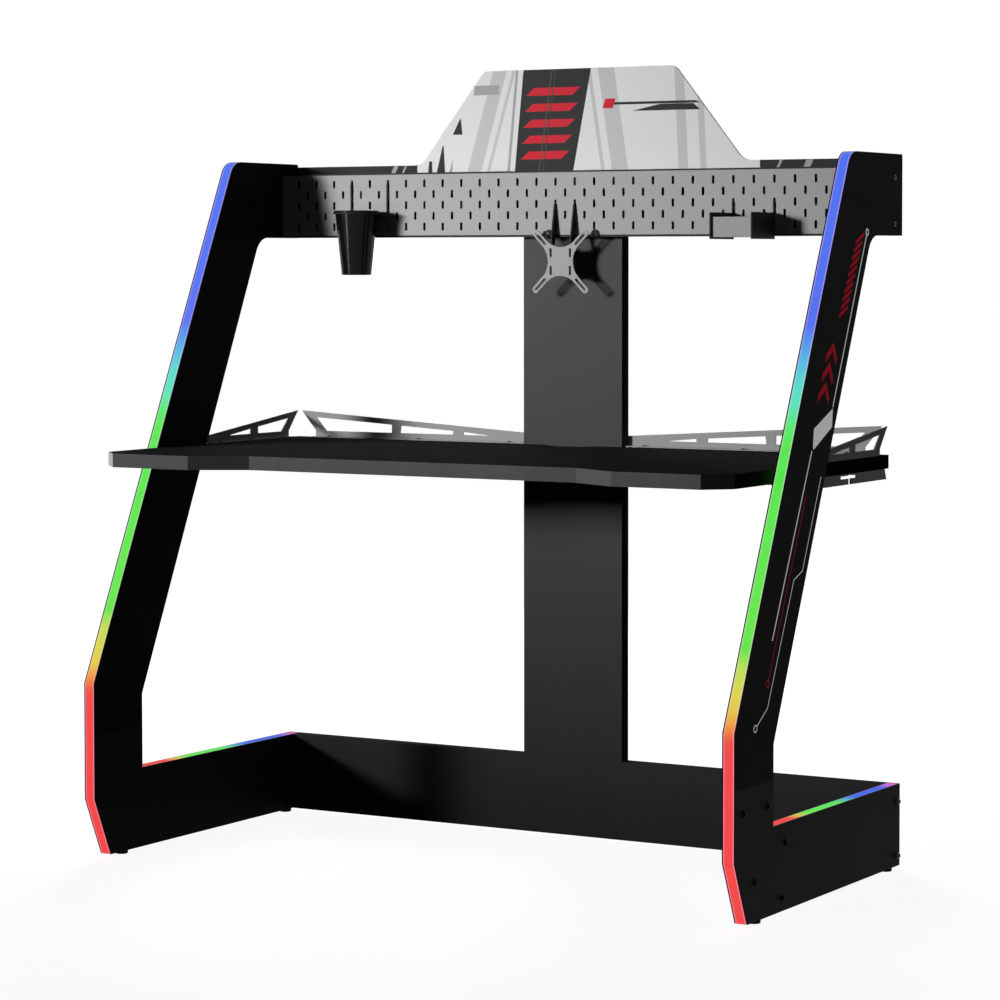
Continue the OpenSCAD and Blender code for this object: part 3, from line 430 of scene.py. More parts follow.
class DESK_OT_boards(bpy.types.Operator):
    """Rounds and coats the side frames, the column, the beam and the tabletop"""

    bl_idname = "desk.boards"
    bl_label = "Boards"

    def execute(self, context):
        colours, size = finishes(), sizes()
        frame_coat = coated("frame_coating", colours.frame_colour, roughness=0.55, specular=0.008, cloud=0.15)
        rear_coat = coated("rear_coating", colours.rear_colour, roughness=0.6, specular=0.0,
                           grain_scale=1300.0)
        top_coat = coated("top_coating", colours.top_colour, roughness=0.6, specular=0.0, grain_scale=700.0,
                          grain=0.25, bump=0.35)
        edge_coat = coated("edge_band", scaled(colours.top_colour, BAND_SHADE), roughness=0.17, specular=0.5,
                           grain_scale=1300.0, grain=0.1, bump=0.1)
        # Painted light: the feet's coat is paler, standing in for the light that the floor throws on them
        floor_lit_foot_coat = coated("foot_coating", scaled(colours.frame_colour, FOOT_FLOOR_LIGHT), roughness=0.5,
                           specular=0.014, cloud=0.2)
        for side in ("right", "left"):
            for part, coat in (("arm", frame_coat), ("foot", floor_lit_foot_coat)):
                rounded_copy(f"{side}_{part}", f"{side}_{part}_board", size.board_round * FRAME_ROUND, coat)
        for part in ("rear_beam", "column"):
            rounded_copy(part, f"{part}_board", size.board_round * REAR_ROUND, rear_coat)
        top = rounded_copy("tabletop", "tabletop_board", size.board_round, top_coat, segments=3)
        top.data.materials.append(edge_coat)
        # Painted light and shade: only edges that don't face right get the glossy band
        for face in top.data.polygons:
            if abs(face.normal.z) < BAND_UPRIGHT and face.normal.x < BAND_LEFTWARD:
                face.material_index = 1
        return {"FINISHED"}


# Light strips

# Share of the strip's height (or of its run along the top or the foot) and its colour
FRONT_COLOURS = (
    (0.0, (0.90, 0.068, 0.066)),
    (0.235, (0.90, 0.070, 0.066)),
    (0.246, (0.87, 0.10, 0.06)),
    (0.258, (0.85, 0.25, 0.06)),
    (0.281, (0.80, 0.57, 0.075)),
    (0.306, (0.67, 0.67, 0.085)),
    (0.330, (0.53, 0.71, 0.095)),
    (0.354, (0.14, 0.78, 0.075)),
    (0.610, (0.095, 0.78, 0.080)),
    (0.636, (0.10, 0.78, 0.16)),
    (0.661, (0.10, 0.74, 0.46)),
    (0.693, (0.095, 0.66, 0.60)),
    (0.725, (0.085, 0.42, 0.76)),
    (0.765, (0.085, 0.155, 0.82)),
    (1.0, (0.068, 0.155, 0.83)),
)
TOP_COLOURS = (
    (0.0, (0.12, 0.20, 0.72)),
    (0.35, (0.16, 0.12, 0.70)),
    (0.7, (0.45, 0.08, 0.55)),
    (1.0, (0.80, 0.10, 0.45)),
)
FOOT_COLOURS = (
    (0.0, (0.86, 0.07, 0.07)),
    (0.17, (0.86, 0.08, 0.07)),
    (0.23, (0.72, 0.52, 0.09)),
    (0.29, (0.16, 0.78, 0.10)),
    (0.53, (0.12, 0.78, 0.12)),
    (0.61, (0.09, 0.42, 0.52)),
    (0.67, (0.068, 0.16, 0.76)),
    (0.89, (0.08, 0.14, 0.78)),
    (0.95, (0.45, 0.15, 0.72)),
    (1.0, (0.80, 0.14, 0.40)),
)
# The run along the frame's top, behind its front corner
TOP_RUN = 0.205
# Past the first share of that run, the colours are those of the top
TOP_START = 0.001
# The painted highlight along the diffuser's long edges: where it starts off the strip's middle, its ramp, its
# colour and how strong it is along the front and along the foot
EDGE_HIGHLIGHT_START, EDGE_HIGHLIGHT_RAMP = 6.6 * MM, 1.4 * MM
EDGE_HIGHLIGHT_COLOUR = (0.92, 0.55, 0.85)
EDGE_HIGHLIGHT_FRONT, EDGE_HIGHLIGHT_FOOT = 0.28, 0.08
# The mottling's scale, amount and lowest value
CELL_SCALE, CELL_AMOUNT, CELL_LOW = 90.0, 0.18, 0.91
# The diffuser is nearly black where it isn't lit
UNLIT_COLOUR, UNLIT_SHARE = (0.03, 0.03, 0.03), 0.92
DIFFUSER_ROUGHNESS, DIFFUSER_GRAIN, DIFFUSER_BUMP = 0.5, 400.0, 0.08


def colour_ramp(tree, factor, stops):
    ramp = tree.nodes.new("ShaderNodeValToRGB")
    tree.links.new(factor, ramp.inputs[0])
    points = ramp.color_ramp.elements
    while len(points) < len(stops):
        points.new(0.5)
    for point, (where, colour) in zip(points, stops):
        point.position = where
        point.color = (*colour, 1.0)
    return ramp.outputs[0]


def strip_material(name, on_foot):
    """A milky diffuser, lit from behind in colours that change along the strip."""
    material, tree, shader, place = new_material(name)
    across, depth, height = split(tree, place)
    if on_foot:
        low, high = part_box("right_foot_light")
        share = math_node(tree, "SUBTRACT", depth, low.y)
        share = math_node(tree, "DIVIDE", share, high.y - low.y)
        colour = colour_ramp(tree, share, FOOT_COLOURS)
    else:
        share = math_node(tree, "DIVIDE", height, FRAME_TOP)
        rising = colour_ramp(tree, share, FRONT_COLOURS)
        back = math_node(tree, "SUBTRACT", depth, REAR_Y - TOP_RUN)
        back = math_node(tree, "DIVIDE", back, TOP_RUN, clamp=True)
        top = colour_ramp(tree, back, TOP_COLOURS)
        on_top = math_node(tree, "GREATER_THAN", back, TOP_START)
        colour = mix_colour(tree, on_top, rising, top)
    # Painted highlight: the diffuser glows paler along both of its long edges
    middle = math_node(tree, "ABSOLUTE", across)
    middle = math_node(tree, "SUBTRACT", middle, (OUTER_X + INNER_X) / 2)
    edge = math_node(tree, "ABSOLUTE", middle)
    edge = math_node(tree, "SUBTRACT", edge, EDGE_HIGHLIGHT_START)
    edge = math_node(tree, "DIVIDE", edge, EDGE_HIGHLIGHT_RAMP, clamp=True)
    edge = math_node(tree, "MULTIPLY", edge, EDGE_HIGHLIGHT_FOOT if on_foot else EDGE_HIGHLIGHT_FRONT)
    lit = mix_colour(tree, edge, colour, EDGE_HIGHLIGHT_COLOUR)
    # Small cells of the lamp tape show through as a faint mottling
    shade = math_node(tree, "MULTIPLY_ADD", noise(tree, place, CELL_SCALE), CELL_AMOUNT, CELL_LOW)
    tree.links.new(shaded(tree, lit, shade), shader.inputs["Emission Color"])
    shader.inputs["Emission Strength"].default_value = lights().strip_strength
    tree.links.new(mix_colour(tree, UNLIT_SHARE, colour, UNLIT_COLOUR), shader.inputs["Base Color"])
    shader.inputs["Roughness"].default_value = DIFFUSER_ROUGHNESS
    shader.inputs["Specular IOR Level"].default_value = 0.0
    add_bump(tree, shader, noise(tree, place, DIFFUSER_GRAIN), DIFFUSER_BUMP, 0.1 * MM)
    return material


class DESK_OT_light_strips(bpy.types.Operator):
    """Lights the diffusers in the frames' edges and dresses the lamp tapes behind them"""

    bl_idname = "desk.light_strips"
    bl_label = "Light strips"

    def execute(self, context):
        front = strip_material("front_strip_glow", on_foot=False)
        foot = strip_material("foot_strip_glow", on_foot=True)
        dress(("right_front_light", "left_front_light"), front)
        dress(("right_foot_light", "left_foot_light"), foot)
        tape = coated("lamp_tape_film", (0.8, 0.78, 0.7), roughness=0.4, specular=0.3, grain_scale=300.0)
        dress(("right_front_tape", "left_front_tape", "right_foot_tape", "left_foot_tape"), tape)
        return {"FINISHED"}


# Steel pieces

# Heights of the bands of painted shade along the tool board's upper and lower edge, and how dark they are
UPPER_SHADE_LINE, LOWER_SHADE_LINE = 3.4 * MM, 4.2 * MM
SHADE_LINE_COLOUR, SHADE_LINE_SHARE = (0.008, 0.008, 0.008), 0.95
STEEL_SPECULAR, STEEL_GRAIN, STEEL_BUMP, STEEL_BUMP_DEPTH = 0.05, 650.0, 0.5, 0.15 * MM
# Rounding of the screen plate's edges
PLATE_ROUND = 0.9 * MM


def grey_steel():
    return coated("grey_steel_paint", finishes().steel_colour, roughness=0.5, specular=STEEL_SPECULAR,
                  grain_scale=STEEL_GRAIN, grain=0.5, cloud=0.1, bump=STEEL_BUMP,
                  bump_depth=STEEL_BUMP_DEPTH)


def dark_steel():
    return coated("dark_steel_paint", finishes().dark_steel_colour, roughness=0.5, specular=0.08,
                  grain_scale=1100.0, grain=0.3)


def board_face_material():
    """Grey steel with painted shade along the rolled upper edge, the lower lip and the slots' walls."""
    material, tree, shader, place = new_material("tool_board_paint")
    low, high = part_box("tool_board")
    across, _, height = split(tree, place)
    paint = place_group(tree, coating_group(), Vector=place, Colour=tuple(finishes().steel_colour),
                        Grain_Scale=STEEL_GRAIN, Cloud_Amount=0.18, Grain_Amount=0.6, Roughness=0.45)
    ends = {"Left": low.x - BEYOND, "Right": high.x + BEYOND}
    top = place_group(tree, band_group(), Across=across, Height=height, **ends,
                      Bottom=high.z - UPPER_SHADE_LINE, Top=high.z + BEYOND)
    bottom = place_group(tree, band_group(), Across=across, Height=height, **ends,
                         Bottom=low.z - BEYOND, Top=low.z + LOWER_SHADE_LINE)
    dark = math_node(tree, "MAXIMUM", top.outputs["Mask"], bottom.outputs["Mask"])
    # The punched slots' walls get painted shade as well
    dark = math_node(tree, "MAXIMUM", dark, turned_away(tree))
    dark = math_node(tree, "MULTIPLY", dark, SHADE_LINE_SHARE)
    colour = mix_colour(tree, dark, paint.outputs["Colour"], SHADE_LINE_COLOUR)
    tree.links.new(colour, shader.inputs["Base Color"])
    tree.links.new(paint.outputs["Roughness"], shader.inputs["Roughness"])
    shader.inputs["Specular IOR Level"].default_value = STEEL_SPECULAR
    add_bump(tree, shader, paint.outputs["Height"], STEEL_BUMP, STEEL_BUMP_DEPTH)
    return material


class DESK_OT_tool_board(bpy.types.Operator):
    """Paints the slotted tool board and its folded edges"""

    bl_idname = "desk.tool_board"
    bl_label = "Tool board"

    def execute(self, context):
        dress(("tool_board",), board_face_material())
        dress(("board_edges",), grey_steel())
        return {"FINISHED"}


class DESK_OT_rails(bpy.types.Operator):
    """Paints the fence rails and the brackets under the tabletop"""

    bl_idname = "desk.rails"
    bl_label = "Rails and brackets"

    def execute(self, context):
        dress(("right_rear_rail", "left_rear_rail", "right_side_rail", "left_side_rail"), grey_steel())
        dress(("right_desk_bracket", "left_desk_bracket"), dark_steel())
        return {"FINISHED"}


class DESK_OT_screen_holder(bpy.types.Operator):
    """Paints the screen plate and its hook plates"""

    bl_idname = "desk.screen_holder"
    bl_label = "Screen holder"

    def execute(self, context):
        # Painted highlight: the plate's rounded edges get a pale steel that stands in for light catching them
        painted_highlight_rim = coated("worn_steel_rim", (0.72, 0.72, 0.73), roughness=0.5, specular=STEEL_SPECULAR)
        plate = rounded_copy("screen_plate", "screen_plate_steel", PLATE_ROUND, grey_steel(),
                             body="screen_holder")
        plate.data.materials.append(painted_highlight_rim)
        plate.modifiers[0].material = 1
        dress(("screen_hook_right", "screen_hook_left"), dark_steel())
        return {"FINISHED"}


class DESK_OT_tray(bpy.types.Operator):
    """Paints the tray and its hook plates"""

    bl_idname = "desk.tray"
    bl_label = "Tray"

    def execute(self, context):
        dress(("tray_pan",), grey_steel())
        dress(("tray_hook_right", "tray_hook_left"), dark_steel())
        return {"FINISHED"}


class DESK_OT_cup(bpy.types.Operator):
    """Gives the cup its glossy plastic and its holder dark paint"""

    bl_idname = "desk.cup"
    bl_label = "Cup and holder"

    def execute(self, context):
        gloss = coated("glossy_cup_plastic", finishes().cup_colour, roughness=0.16, specular=0.1,
                       grain_scale=60.0, grain=0.05, bump=0.05, bump_depth=0.2 * MM)
        dress(("cup",), gloss)
        smooth_round(("cup",))
        dress(("cup_ring", "cup_hook_right", "cup_hook_left"), dark_steel())
        return {"FINISHED"}


# Display sheet

# Grounds of the print: pale streak, grey block and dark panel, and the painted shade on the sheet's cut edge
MIST, STONE, DARK, SHADED_CUT = (0.62, 0.62, 0.63), (0.42, 0.42, 0.43), (0.030, 0.030, 0.032), (0.02, 0.02, 0.02)
# Heights in the print are measured from this line, a little under the frames' heads
PRINT_BASE = FRAME_TOP - 20 * MM
# Pale streaks: left and right edge, and their lean for each metre of height
SHEET_STREAKS = (
    (-0.236, -0.206, 0.30), (-0.194, -0.187, 0.30), (0.048, 0.056, -0.16),
    (0.070, 0.104, -0.16), (0.206, 0.226, -0.05), (0.250, 0.263, -0.05),
)
# The dark panel: left and right edge and their leans; the grey line beside it, from and to off its left edge
PANEL_LEFT, PANEL_RIGHT, PANEL_LEFT_LEAN, PANEL_RIGHT_LEAN = -0.134, -0.010, 0.10, 0.20
PANEL_LINE = (-0.016, -0.010)
# Slats on the panel: how many, the lowest one's foot, their pitch, height and lean, and the room beside them
SLAT_COUNT, SLAT_FOOT, SLAT_PITCH, SLAT_HEIGHT, SLAT_LEAN = 5, 22 * MM, 29 * MM, 15 * MM, 1.2
SLAT_LEFT_ROOM, SLAT_RIGHT_ROOM = 0.010, 0.030
# Thin streaks on the panel: how far off its left edge, and their shade; their width and lean
THIN_STREAKS = ((0.050, 0.085), (0.058, 0.06))
THIN_WIDTH, THIN_LEAN = 0.003, 0.15
# Shards and blocks by the left slope, then the two bars on the right: left and right edge at the foot, their
# leans, foot and top over the base line, colour
SHEET_SHAPES = (
    (-0.322, -0.312, 0.12, -0.02, 0.0, 0.022, DARK),
    (-0.303, -0.284, 0.26, -0.06, 0.0, 0.050, DARK),
    (-0.276, -0.268, 0.34, 0.05, 0.0, 0.028, STONE),
    (-0.268, -0.246, 0.55, -0.12, 0.070, 0.100, DARK),
    (-0.222, -0.168, 0.10, 0.10, 0.142, 0.160, STONE),
    (0.060, 0.250, 0.0, -1.9, 0.118, 0.123, DARK),
    (0.110, 0.250, 5.0, -1.2, 0.106, 0.118, DARK),
)
RED_BLOCK = (0.050, 0.072, 0.35, 0.35, 0.112, 0.130)
# Where the dark low ends start on the left and on the right
LOW_ENDS = (-0.345, 0.368)
# Pale chips on the low ends: left and right edge; their lean and height
CHIPS = ((-0.404, -0.394), (-0.380, -0.375), (0.400, 0.406), (0.452, 0.466))
CHIP_LEAN, CHIP_HEIGHT = 0.5, 0.014
# The sheet gets painted shade, plain and dark, up to this much under the base line
SHADE_MARGIN = 1.5 * MM


def sheet_material():
    """The display sheet's print: a pale ground with a dark panel, red slats and grey streaks, with painted
    shade behind the tool board and on the cut edges.
    """
    colours = finishes()
    material, tree, shader, place = new_material("display_sheet_print")
    across, _, height = split(tree, place)
    low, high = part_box("display_sheet")
    red = tuple(colours.accent_colour)
    paint = place_group(tree, coating_group(), Vector=place, Colour=tuple(colours.sheet_colour),
                        Grain_Scale=300.0, Cloud_Amount=0.03, Grain_Amount=0.02, Roughness=0.5)
    colour = paint.outputs["Colour"]

    def band(shade, left, right, left_lean=0.0, right_lean=0.0, bottom=PRINT_BASE, top=high.z + BEYOND):
        """Lays a slanted band of a shade over the print."""
        node = place_group(tree, band_group(), Across=across, Height=height, Left=left, Right=right,
                           Left_Slant=left_lean, Right_Slant=right_lean, Bottom=bottom, Top=top)
        return mix_colour(tree, node.outputs["Mask"], colour, shade)

    for left, right, lean in SHEET_STREAKS:
        colour = band(MIST, left, right, lean, lean)
    colour = band(DARK, PANEL_LEFT, PANEL_RIGHT, PANEL_LEFT_LEAN, PANEL_RIGHT_LEAN)
    line_left, line_right = (PANEL_LEFT + off for off in PANEL_LINE)
    colour = band(STONE, line_left, line_right, PANEL_LEFT_LEAN, PANEL_LEFT_LEAN)
    for index in range(SLAT_COUNT):
        rise = SLAT_FOOT + SLAT_PITCH * index
        colour = band(red, PANEL_LEFT + PANEL_LEFT_LEAN * rise + SLAT_LEFT_ROOM,
                      PANEL_RIGHT + PANEL_RIGHT_LEAN * rise - SLAT_RIGHT_ROOM, SLAT_LEAN, SLAT_LEAN,
                      PRINT_BASE + rise, PRINT_BASE + rise + SLAT_HEIGHT)
    for shift, shade in THIN_STREAKS:
        left = PANEL_LEFT + shift
        colour = band((shade,) * 3, left, left + THIN_WIDTH, THIN_LEAN, THIN_LEAN)
    for left, right, left_lean, right_lean, foot, top, shade in (*SHEET_SHAPES, (*RED_BLOCK, red)):
        colour = band(shade, left, right, left_lean, right_lean, PRINT_BASE + foot, PRINT_BASE + top)
    for left, right in ((low.x - BEYOND, LOW_ENDS[0]), (LOW_ENDS[1], high.x + BEYOND)):
        colour = band(DARK, left, right, bottom=low.z - BEYOND)
    for left, right in CHIPS:
        colour = band(STONE, left, right, CHIP_LEAN, CHIP_LEAN, top=PRINT_BASE + CHIP_HEIGHT)
    # Painted shade: behind the tool board the sheet is plain and dark, and so is its cut edge
    colour = band(DARK, low.x - BEYOND, high.x + BEYOND, bottom=low.z - BEYOND, top=PRINT_BASE - SHADE_MARGIN)
    colour = mix_colour(tree, turned_away(tree), colour, SHADED_CUT)
    tree.links.new(colour, shader.inputs["Base Color"])
    tree.links.new(paint.outputs["Roughness"], shader.inputs["Roughness"])
    shader.inputs["Specular IOR Level"].default_value = 0.05
    add_bump(tree, shader, paint.outputs["Height"], 0.05, 0.1 * MM)
    return material


class DESK_OT_display_sheet(bpy.types.Operator):
    """Prints the display sheet"""

    bl_idname = "desk.display_sheet"
    bl_label = "Display sheet"

    def execute(self, context):
        dress(("display_sheet",), sheet_material())
        return {"FINISHED"}


# Printed lines

# Sides of a printed ring
RING_SIDES = 20
# Points of a printed line closer than this are one
LINE_WELD = 0.001 * MM
# All places on a frame's outer face are (y, z) in mm.
# Lines: name, points, share of the line width, whether it is red, and which points end in a ring
PRINTED_LINES = (
    ("upper", ((173.7, 1105.7), (38.4, 815.2)), 1.0, False, (0,)),
    ("lower", ((-42, 746.3), (-188.1, 449.2)), 1.0, False, ()),
    ("bent", ((-6.5, 702), (-76.7, 552.2), (-108.8, 540.1), (-204.9, 342.7), (-248.6, 314.8)),
     0.6, False, (4,)),
    ("red", ((-63.8, 673.3), (-204.9, 381.1)), 0.6, True, (1,)),
)
PALE_PANEL = ((38.4, 813.0), (35.2, 782.2), (-35.5, 748.0), (-38.0, 752.5), (-34.5, 782.0))
# Hatches: the first one's place, the way from the first to the last, and the outline about its place
HATCH_START, HATCH_RUN = (144.0, 1096.0), (-65.0, -122.0)
HATCH_OUTLINE = ((-17, -12), (17, 3), (17, 9.5), (-17, -5.5))
# Chevrons: how many, the first one's place, the way to the next one, and the outline about its place
CHEVRON_COUNT, CHEVRON_START, CHEVRON_STEP = 3, (35.0, 906.0), (-15.0, -32.0)
CHEVRON_OUTLINE = ((-26, -16), (3, 2), (14, -22), (19, -12), (6, 16), (-22, -3))
# The frames' red is darker than the display sheet's
FRAME_RED_SHADE = 0.26


def line_tree():
    """Geometry Nodes: a flat printed line along the edges of its mesh, with a ring at marked ends."""
    name = "printed_line"
    if name in bpy.data.node_groups:
        return bpy.data.node_groups[name]
    tree = bpy.data.node_groups.new(name, "GeometryNodeTree")
    socket_in(tree, "Path", "NodeSocketGeometry")
    socket_in(tree, "Width", "NodeSocketFloat", 3 * MM)
    socket_in(tree, "Thickness", "NodeSocketFloat", 0.12 * MM)
    socket_in(tree, "Ring Radius", "NodeSocketFloat", 6.5 * MM)
    socket_in(tree, "Material", "NodeSocketMaterial")
    socket_out(tree, "Geometry", "NodeSocketGeometry")
    start, end = tree.nodes.new("NodeGroupInput"), tree.nodes.new("NodeGroupOutput")
    link = tree.links.new

    def swept(curve, profile):
        """Sweeps the flat profile along a curve, with its thickness along x."""
        normal = tree.nodes.new("GeometryNodeSetCurveNormal")
        normal.mode = "FREE"
        normal.inputs["Normal"].default_value = (1.0, 0.0, 0.0)
        link(curve, normal.inputs["Curve"])
        sweep = tree.nodes.new("GeometryNodeCurveToMesh")
        link(normal.outputs["Curve"], sweep.inputs["Curve"])
        link(profile.outputs["Curve"], sweep.inputs["Profile Curve"])
        return sweep

    path = tree.nodes.new("GeometryNodeMeshToCurve")
    link(start.outputs["Path"], path.inputs["Mesh"])
    profile = tree.nodes.new("GeometryNodeCurvePrimitiveQuadrilateral")
    link(start.outputs["Thickness"], profile.inputs["Width"])
    link(start.outputs["Width"], profile.inputs["Height"])
    line = swept(path.outputs["Curve"], profile)
    line.inputs["Fill Caps"].default_value = True

    marked = tree.nodes.new("GeometryNodeInputNamedAttribute")
    marked.data_type = "BOOLEAN"
    marked.inputs["Name"].default_value = "ring_end"
    points = tree.nodes.new("GeometryNodeMeshToPoints")
    link(start.outputs["Path"], points.inputs["Mesh"])
    link(marked.outputs["Attribute"], points.inputs["Selection"])
    loop = tree.nodes.new("GeometryNodeCurvePrimitiveCircle")
    loop.mode = "RADIUS"
    loop.inputs["Resolution"].default_value = RING_SIDES
    link(start.outputs["Ring Radius"], loop.inputs["Radius"])
    turn = tree.nodes.new("GeometryNodeTransform")
    turn.inputs["Rotation"].default_value = (0.0, math.radians(90), 0.0)
    link(loop.outputs["Curve"], turn.inputs["Geometry"])
    ring = swept(turn.outputs["Geometry"], profile)
    place = tree.nodes.new("GeometryNodeInstanceOnPoints")
    link(points.outputs["Points"], place.inputs["Points"])
    link(ring.outputs["Mesh"], place.inputs["Instance"])

    join = tree.nodes.new("GeometryNodeJoinGeometry")
    link(line.outputs["Mesh"], join.inputs[0])
    link(place.outputs["Instances"], join.inputs[0])
    real = tree.nodes.new("GeometryNodeRealizeInstances")
    link(join.outputs[0], real.inputs[0])
    paint = tree.nodes.new("GeometryNodeSetMaterial")
    link(real.outputs[0], paint.inputs["Geometry"])
    link(start.outputs["Material"], paint.inputs["Material"])
    link(paint.outputs[0], end.inputs["Geometry"])
    return tree


def printed_line(name, side, points, width, material, rings=()):
    """A line on a frame's outer face through points given as (y, z) in mm, with rings at some ends."""
    size = sizes()
    lift = OUTER_X + size.print_lift / 2
    corners = [Vector((side * lift, y * MM, z * MM)) for y, z in points]
    # The line stops at the ring's edge, where a ring stands at its end
    for end, inner in ((0, 1), (len(corners) - 1, len(corners) - 2)):
        if end in rings:
            corners.append(corners[end].copy())
            corners[end] = corners[end] + (corners[inner] - corners[end]).normalized() * size.ring_size
    count = len(points)
    mesh = bpy.data.meshes.new(name)
    mesh.from_pydata([tuple(c) for c in corners], [(i, i + 1) for i in range(count - 1)], [])
    marks = mesh.attributes.new("ring_end", "BOOLEAN", "POINT")
    for index in range(len(corners)):
        marks.data[index].value = index >= count
    thing = bpy.data.objects.new(name, mesh)
    bpy.context.scene.collection.objects.link(thing)
    grower = thing.modifiers.new("line", "NODES")
    grower.node_group = line_tree()
    inputs = {i.name: i.identifier for i in grower.node_group.interface.items_tree
              if i.item_type == "SOCKET" and i.in_out == "INPUT"}
    grower[inputs["Width"]] = width
    grower[inputs["Thickness"]] = size.print_lift
    grower[inputs["Ring Radius"]] = size.ring_size - width / 2
    grower[inputs["Material"]] = material
    bpy.context.view_layer.update()
    made = thing.evaluated_get(bpy.context.evaluated_depsgraph_get())
    plain = bpy.data.meshes.new_from_object(made)
    thing.modifiers.clear()
    thing.data = plain
    build = bmesh.new()
    build.from_mesh(plain)
    bmesh.ops.remove_doubles(build, verts=build.verts, dist=LINE_WELD)
    bmesh.ops.recalc_face_normals(build, faces=build.faces)
    build.to_mesh(plain)
    build.free()
    if not plain.polygons:
        raise RuntimeError(f"{name} came out empty")
    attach(thing, BOARD)


def printed_panel(name, side, place, outline, material):
    """A flat printed panel on a frame's outer face; its outline is about its place, both (y, z) in mm."""
    mesh = bpy.data.meshes.new(name)
    build = bmesh.new()
    near = [build.verts.new((side * OUTER_X, (place[0] + y) * MM, (place[1] + z) * MM)) for y, z in outline]
    out = bmesh.ops.extrude_face_region(build, geom=[build.faces.new(near)])
    top = [v for v in out["geom"] if isinstance(v, bmesh.types.BMVert)]
    bmesh.ops.translate(build, verts=top, vec=(side * sizes().print_lift, 0, 0))
    bmesh.ops.recalc_face_normals(build, faces=build.faces)
    build.to_mesh(mesh)
    build.free()
    add_piece(mesh, name, BOARD, material)


def print_material(name, colour):
    """A thin print with a painted glow: it emits its own colour, though it is no lamp, so that it stands out
    from the black board in the shade.
    """
    material = coated(name, colour, roughness=0.5, specular=0.0, grain_scale=500.0)
    tree = material.node_tree
    shader = tree.nodes["Principled BSDF"]
    tree.links.new(shader.inputs["Base Color"].links[0].from_socket, shader.inputs["Emission Color"])
    shader.inputs["Emission Strength"].default_value = lights().painted_print_glow
    return material


class DESK_OT_printed_lines(bpy.types.Operator):
    """Prints the lines, rings, hatches and chevrons on the frames' outer faces"""

    bl_idname = "desk.printed_lines"
    bl_label = "Printed lines"

    def execute(self, context):
        colours, size = finishes(), sizes()
        pale = print_material("pale_print", colours.line_colour)
        red = print_material("red_print", scaled(colours.accent_colour, FRAME_RED_SHADE))
        for side, label in ((1, "right"), (-1, "left")):
            for name, points, share, is_red, rings in PRINTED_LINES:
                printed_line(f"{label}_line_{name}", side, points, size.line_width * share,
                             red if is_red else pale, rings)
            printed_panel(f"{label}_panel", side, (0, 0), PALE_PANEL, pale)
            for index in range(size.hatch_count):
                share = index / (size.hatch_count - 1)
                place = [start + way * share for start, way in zip(HATCH_START, HATCH_RUN)]
                printed_panel(f"{label}_hatch_{index + 1}", side, place, HATCH_OUTLINE, red)
            for index in range(CHEVRON_COUNT):
                place = [start + way * index for start, way in zip(CHEVRON_START, CHEVRON_STEP)]
                printed_panel(f"{label}_chevron_{index + 1}", side, place, CHEVRON_OUTLINE, red)
        return {"FINISHED"}


# Fasteners


class DESK_OT_fasteners(bpy.types.Operator):
    """Dresses the bolts, nuts, screws, dowels, caps and glides"""

    bl_idname = "desk.fasteners"
    bl_label = "Fasteners and glides"

    def execute(self, context):
        black = coated("black_bolt_finish", (0.02, 0.02, 0.021), roughness=0.35, specular=0.25,
                       grain_scale=2000.0)
        plain = coated("zinc_plated_steel", (0.55, 0.55, 0.56), roughness=0.35, specular=0.5,
                       grain_scale=1600.0, grain=0.3, cloud=0.1, bump=0.2, bump_depth=0.05 * MM, metallic=1.0)
        wood = coated("beech_dowel", (0.62, 0.42, 0.24), roughness=0.6, specular=0.2, grain_scale=400.0,
                      grain=0.5, cloud=0.3)
        plastic = coated("black_plastic", (0.010, 0.010, 0.011), roughness=0.5, specular=0.03)
        bolts = ("head_bolts", "beam_bolts", "bracket_bolts", "board_bolts", "rail_screws", "sheet_screws")
        dress(bolts, black)
        dress(("head_nuts", "barrel_nuts", "desk_screws"), plain)
        dress(("frame_dowels", "column_dowels"), wood)
        dress(("frame_caps", "floor_glides"), plastic)
        smooth_round((*bolts, "desk_screws", "barrel_nuts", "frame_dowels", "column_dowels", "frame_caps",
                      "floor_glides"))
        return {"FINISHED"}


# Stage

WHITE = (1.0, 1.0, 1.0)
FLOOR_REACH = 40.0
# The floor's own colour where it is seen and for the light that it throws back
FLOOR_SEEN, FLOOR_DULL = (0.45, 0.45, 0.45), (0.12, 0.12, 0.12)
# Its glow near the desk, how far out that starts to rise to white, and over what way
FLOOR_NEAR, RISE_START, RISE_RUN = (0.93, 0.93, 0.93), 1.5, 2.5
FLOOR_ROUGHNESS = 0.9
# Lamps: name, setting of its power, place, target, width, height and spread (degrees)
LAMPS = (
    ("key_lamp", "key_power", (-4.39, -6.54, 2.17), (-0.3, 0.27, 1.2), 2.0, 1.2, 16),
    ("streak_lamp", "streak_power", (-2.15, -3.4, 0.52), (-0.44, 0.23, 1.06), 0.5, 0.3, 9),
    ("rear_lamp", "rear_power", (-2.2, 3.2, 1.7), (0.0, 0.3, 0.9), 1.6, 1.6, 180),
)
# The camera's place, pitch and turn (degrees), focal length and sensor (mm), shift and reach
CAMERA_PLACE, CAMERA_PITCH, CAMERA_TURN = (2.9369, -4.9117, 1.0583), 87.564, 29.552
CAMERA_LENS, CAMERA_SENSOR, CAMERA_SHIFT, CAMERA_REACH = 118.30, 36.0, (-0.0652, -0.1), 200.0


def bright_where_seen(tree):
    """1 for rays that see the stage straight, in a reflection or through glass, 0 for the rest."""
    path = tree.nodes.new("ShaderNodeLightPath")
    seen = math_node(tree, "MAXIMUM", path.outputs["Is Camera Ray"], path.outputs["Is Glossy Ray"])
    return math_node(tree, "MAXIMUM", seen, path.outputs["Is Transmission Ray"])


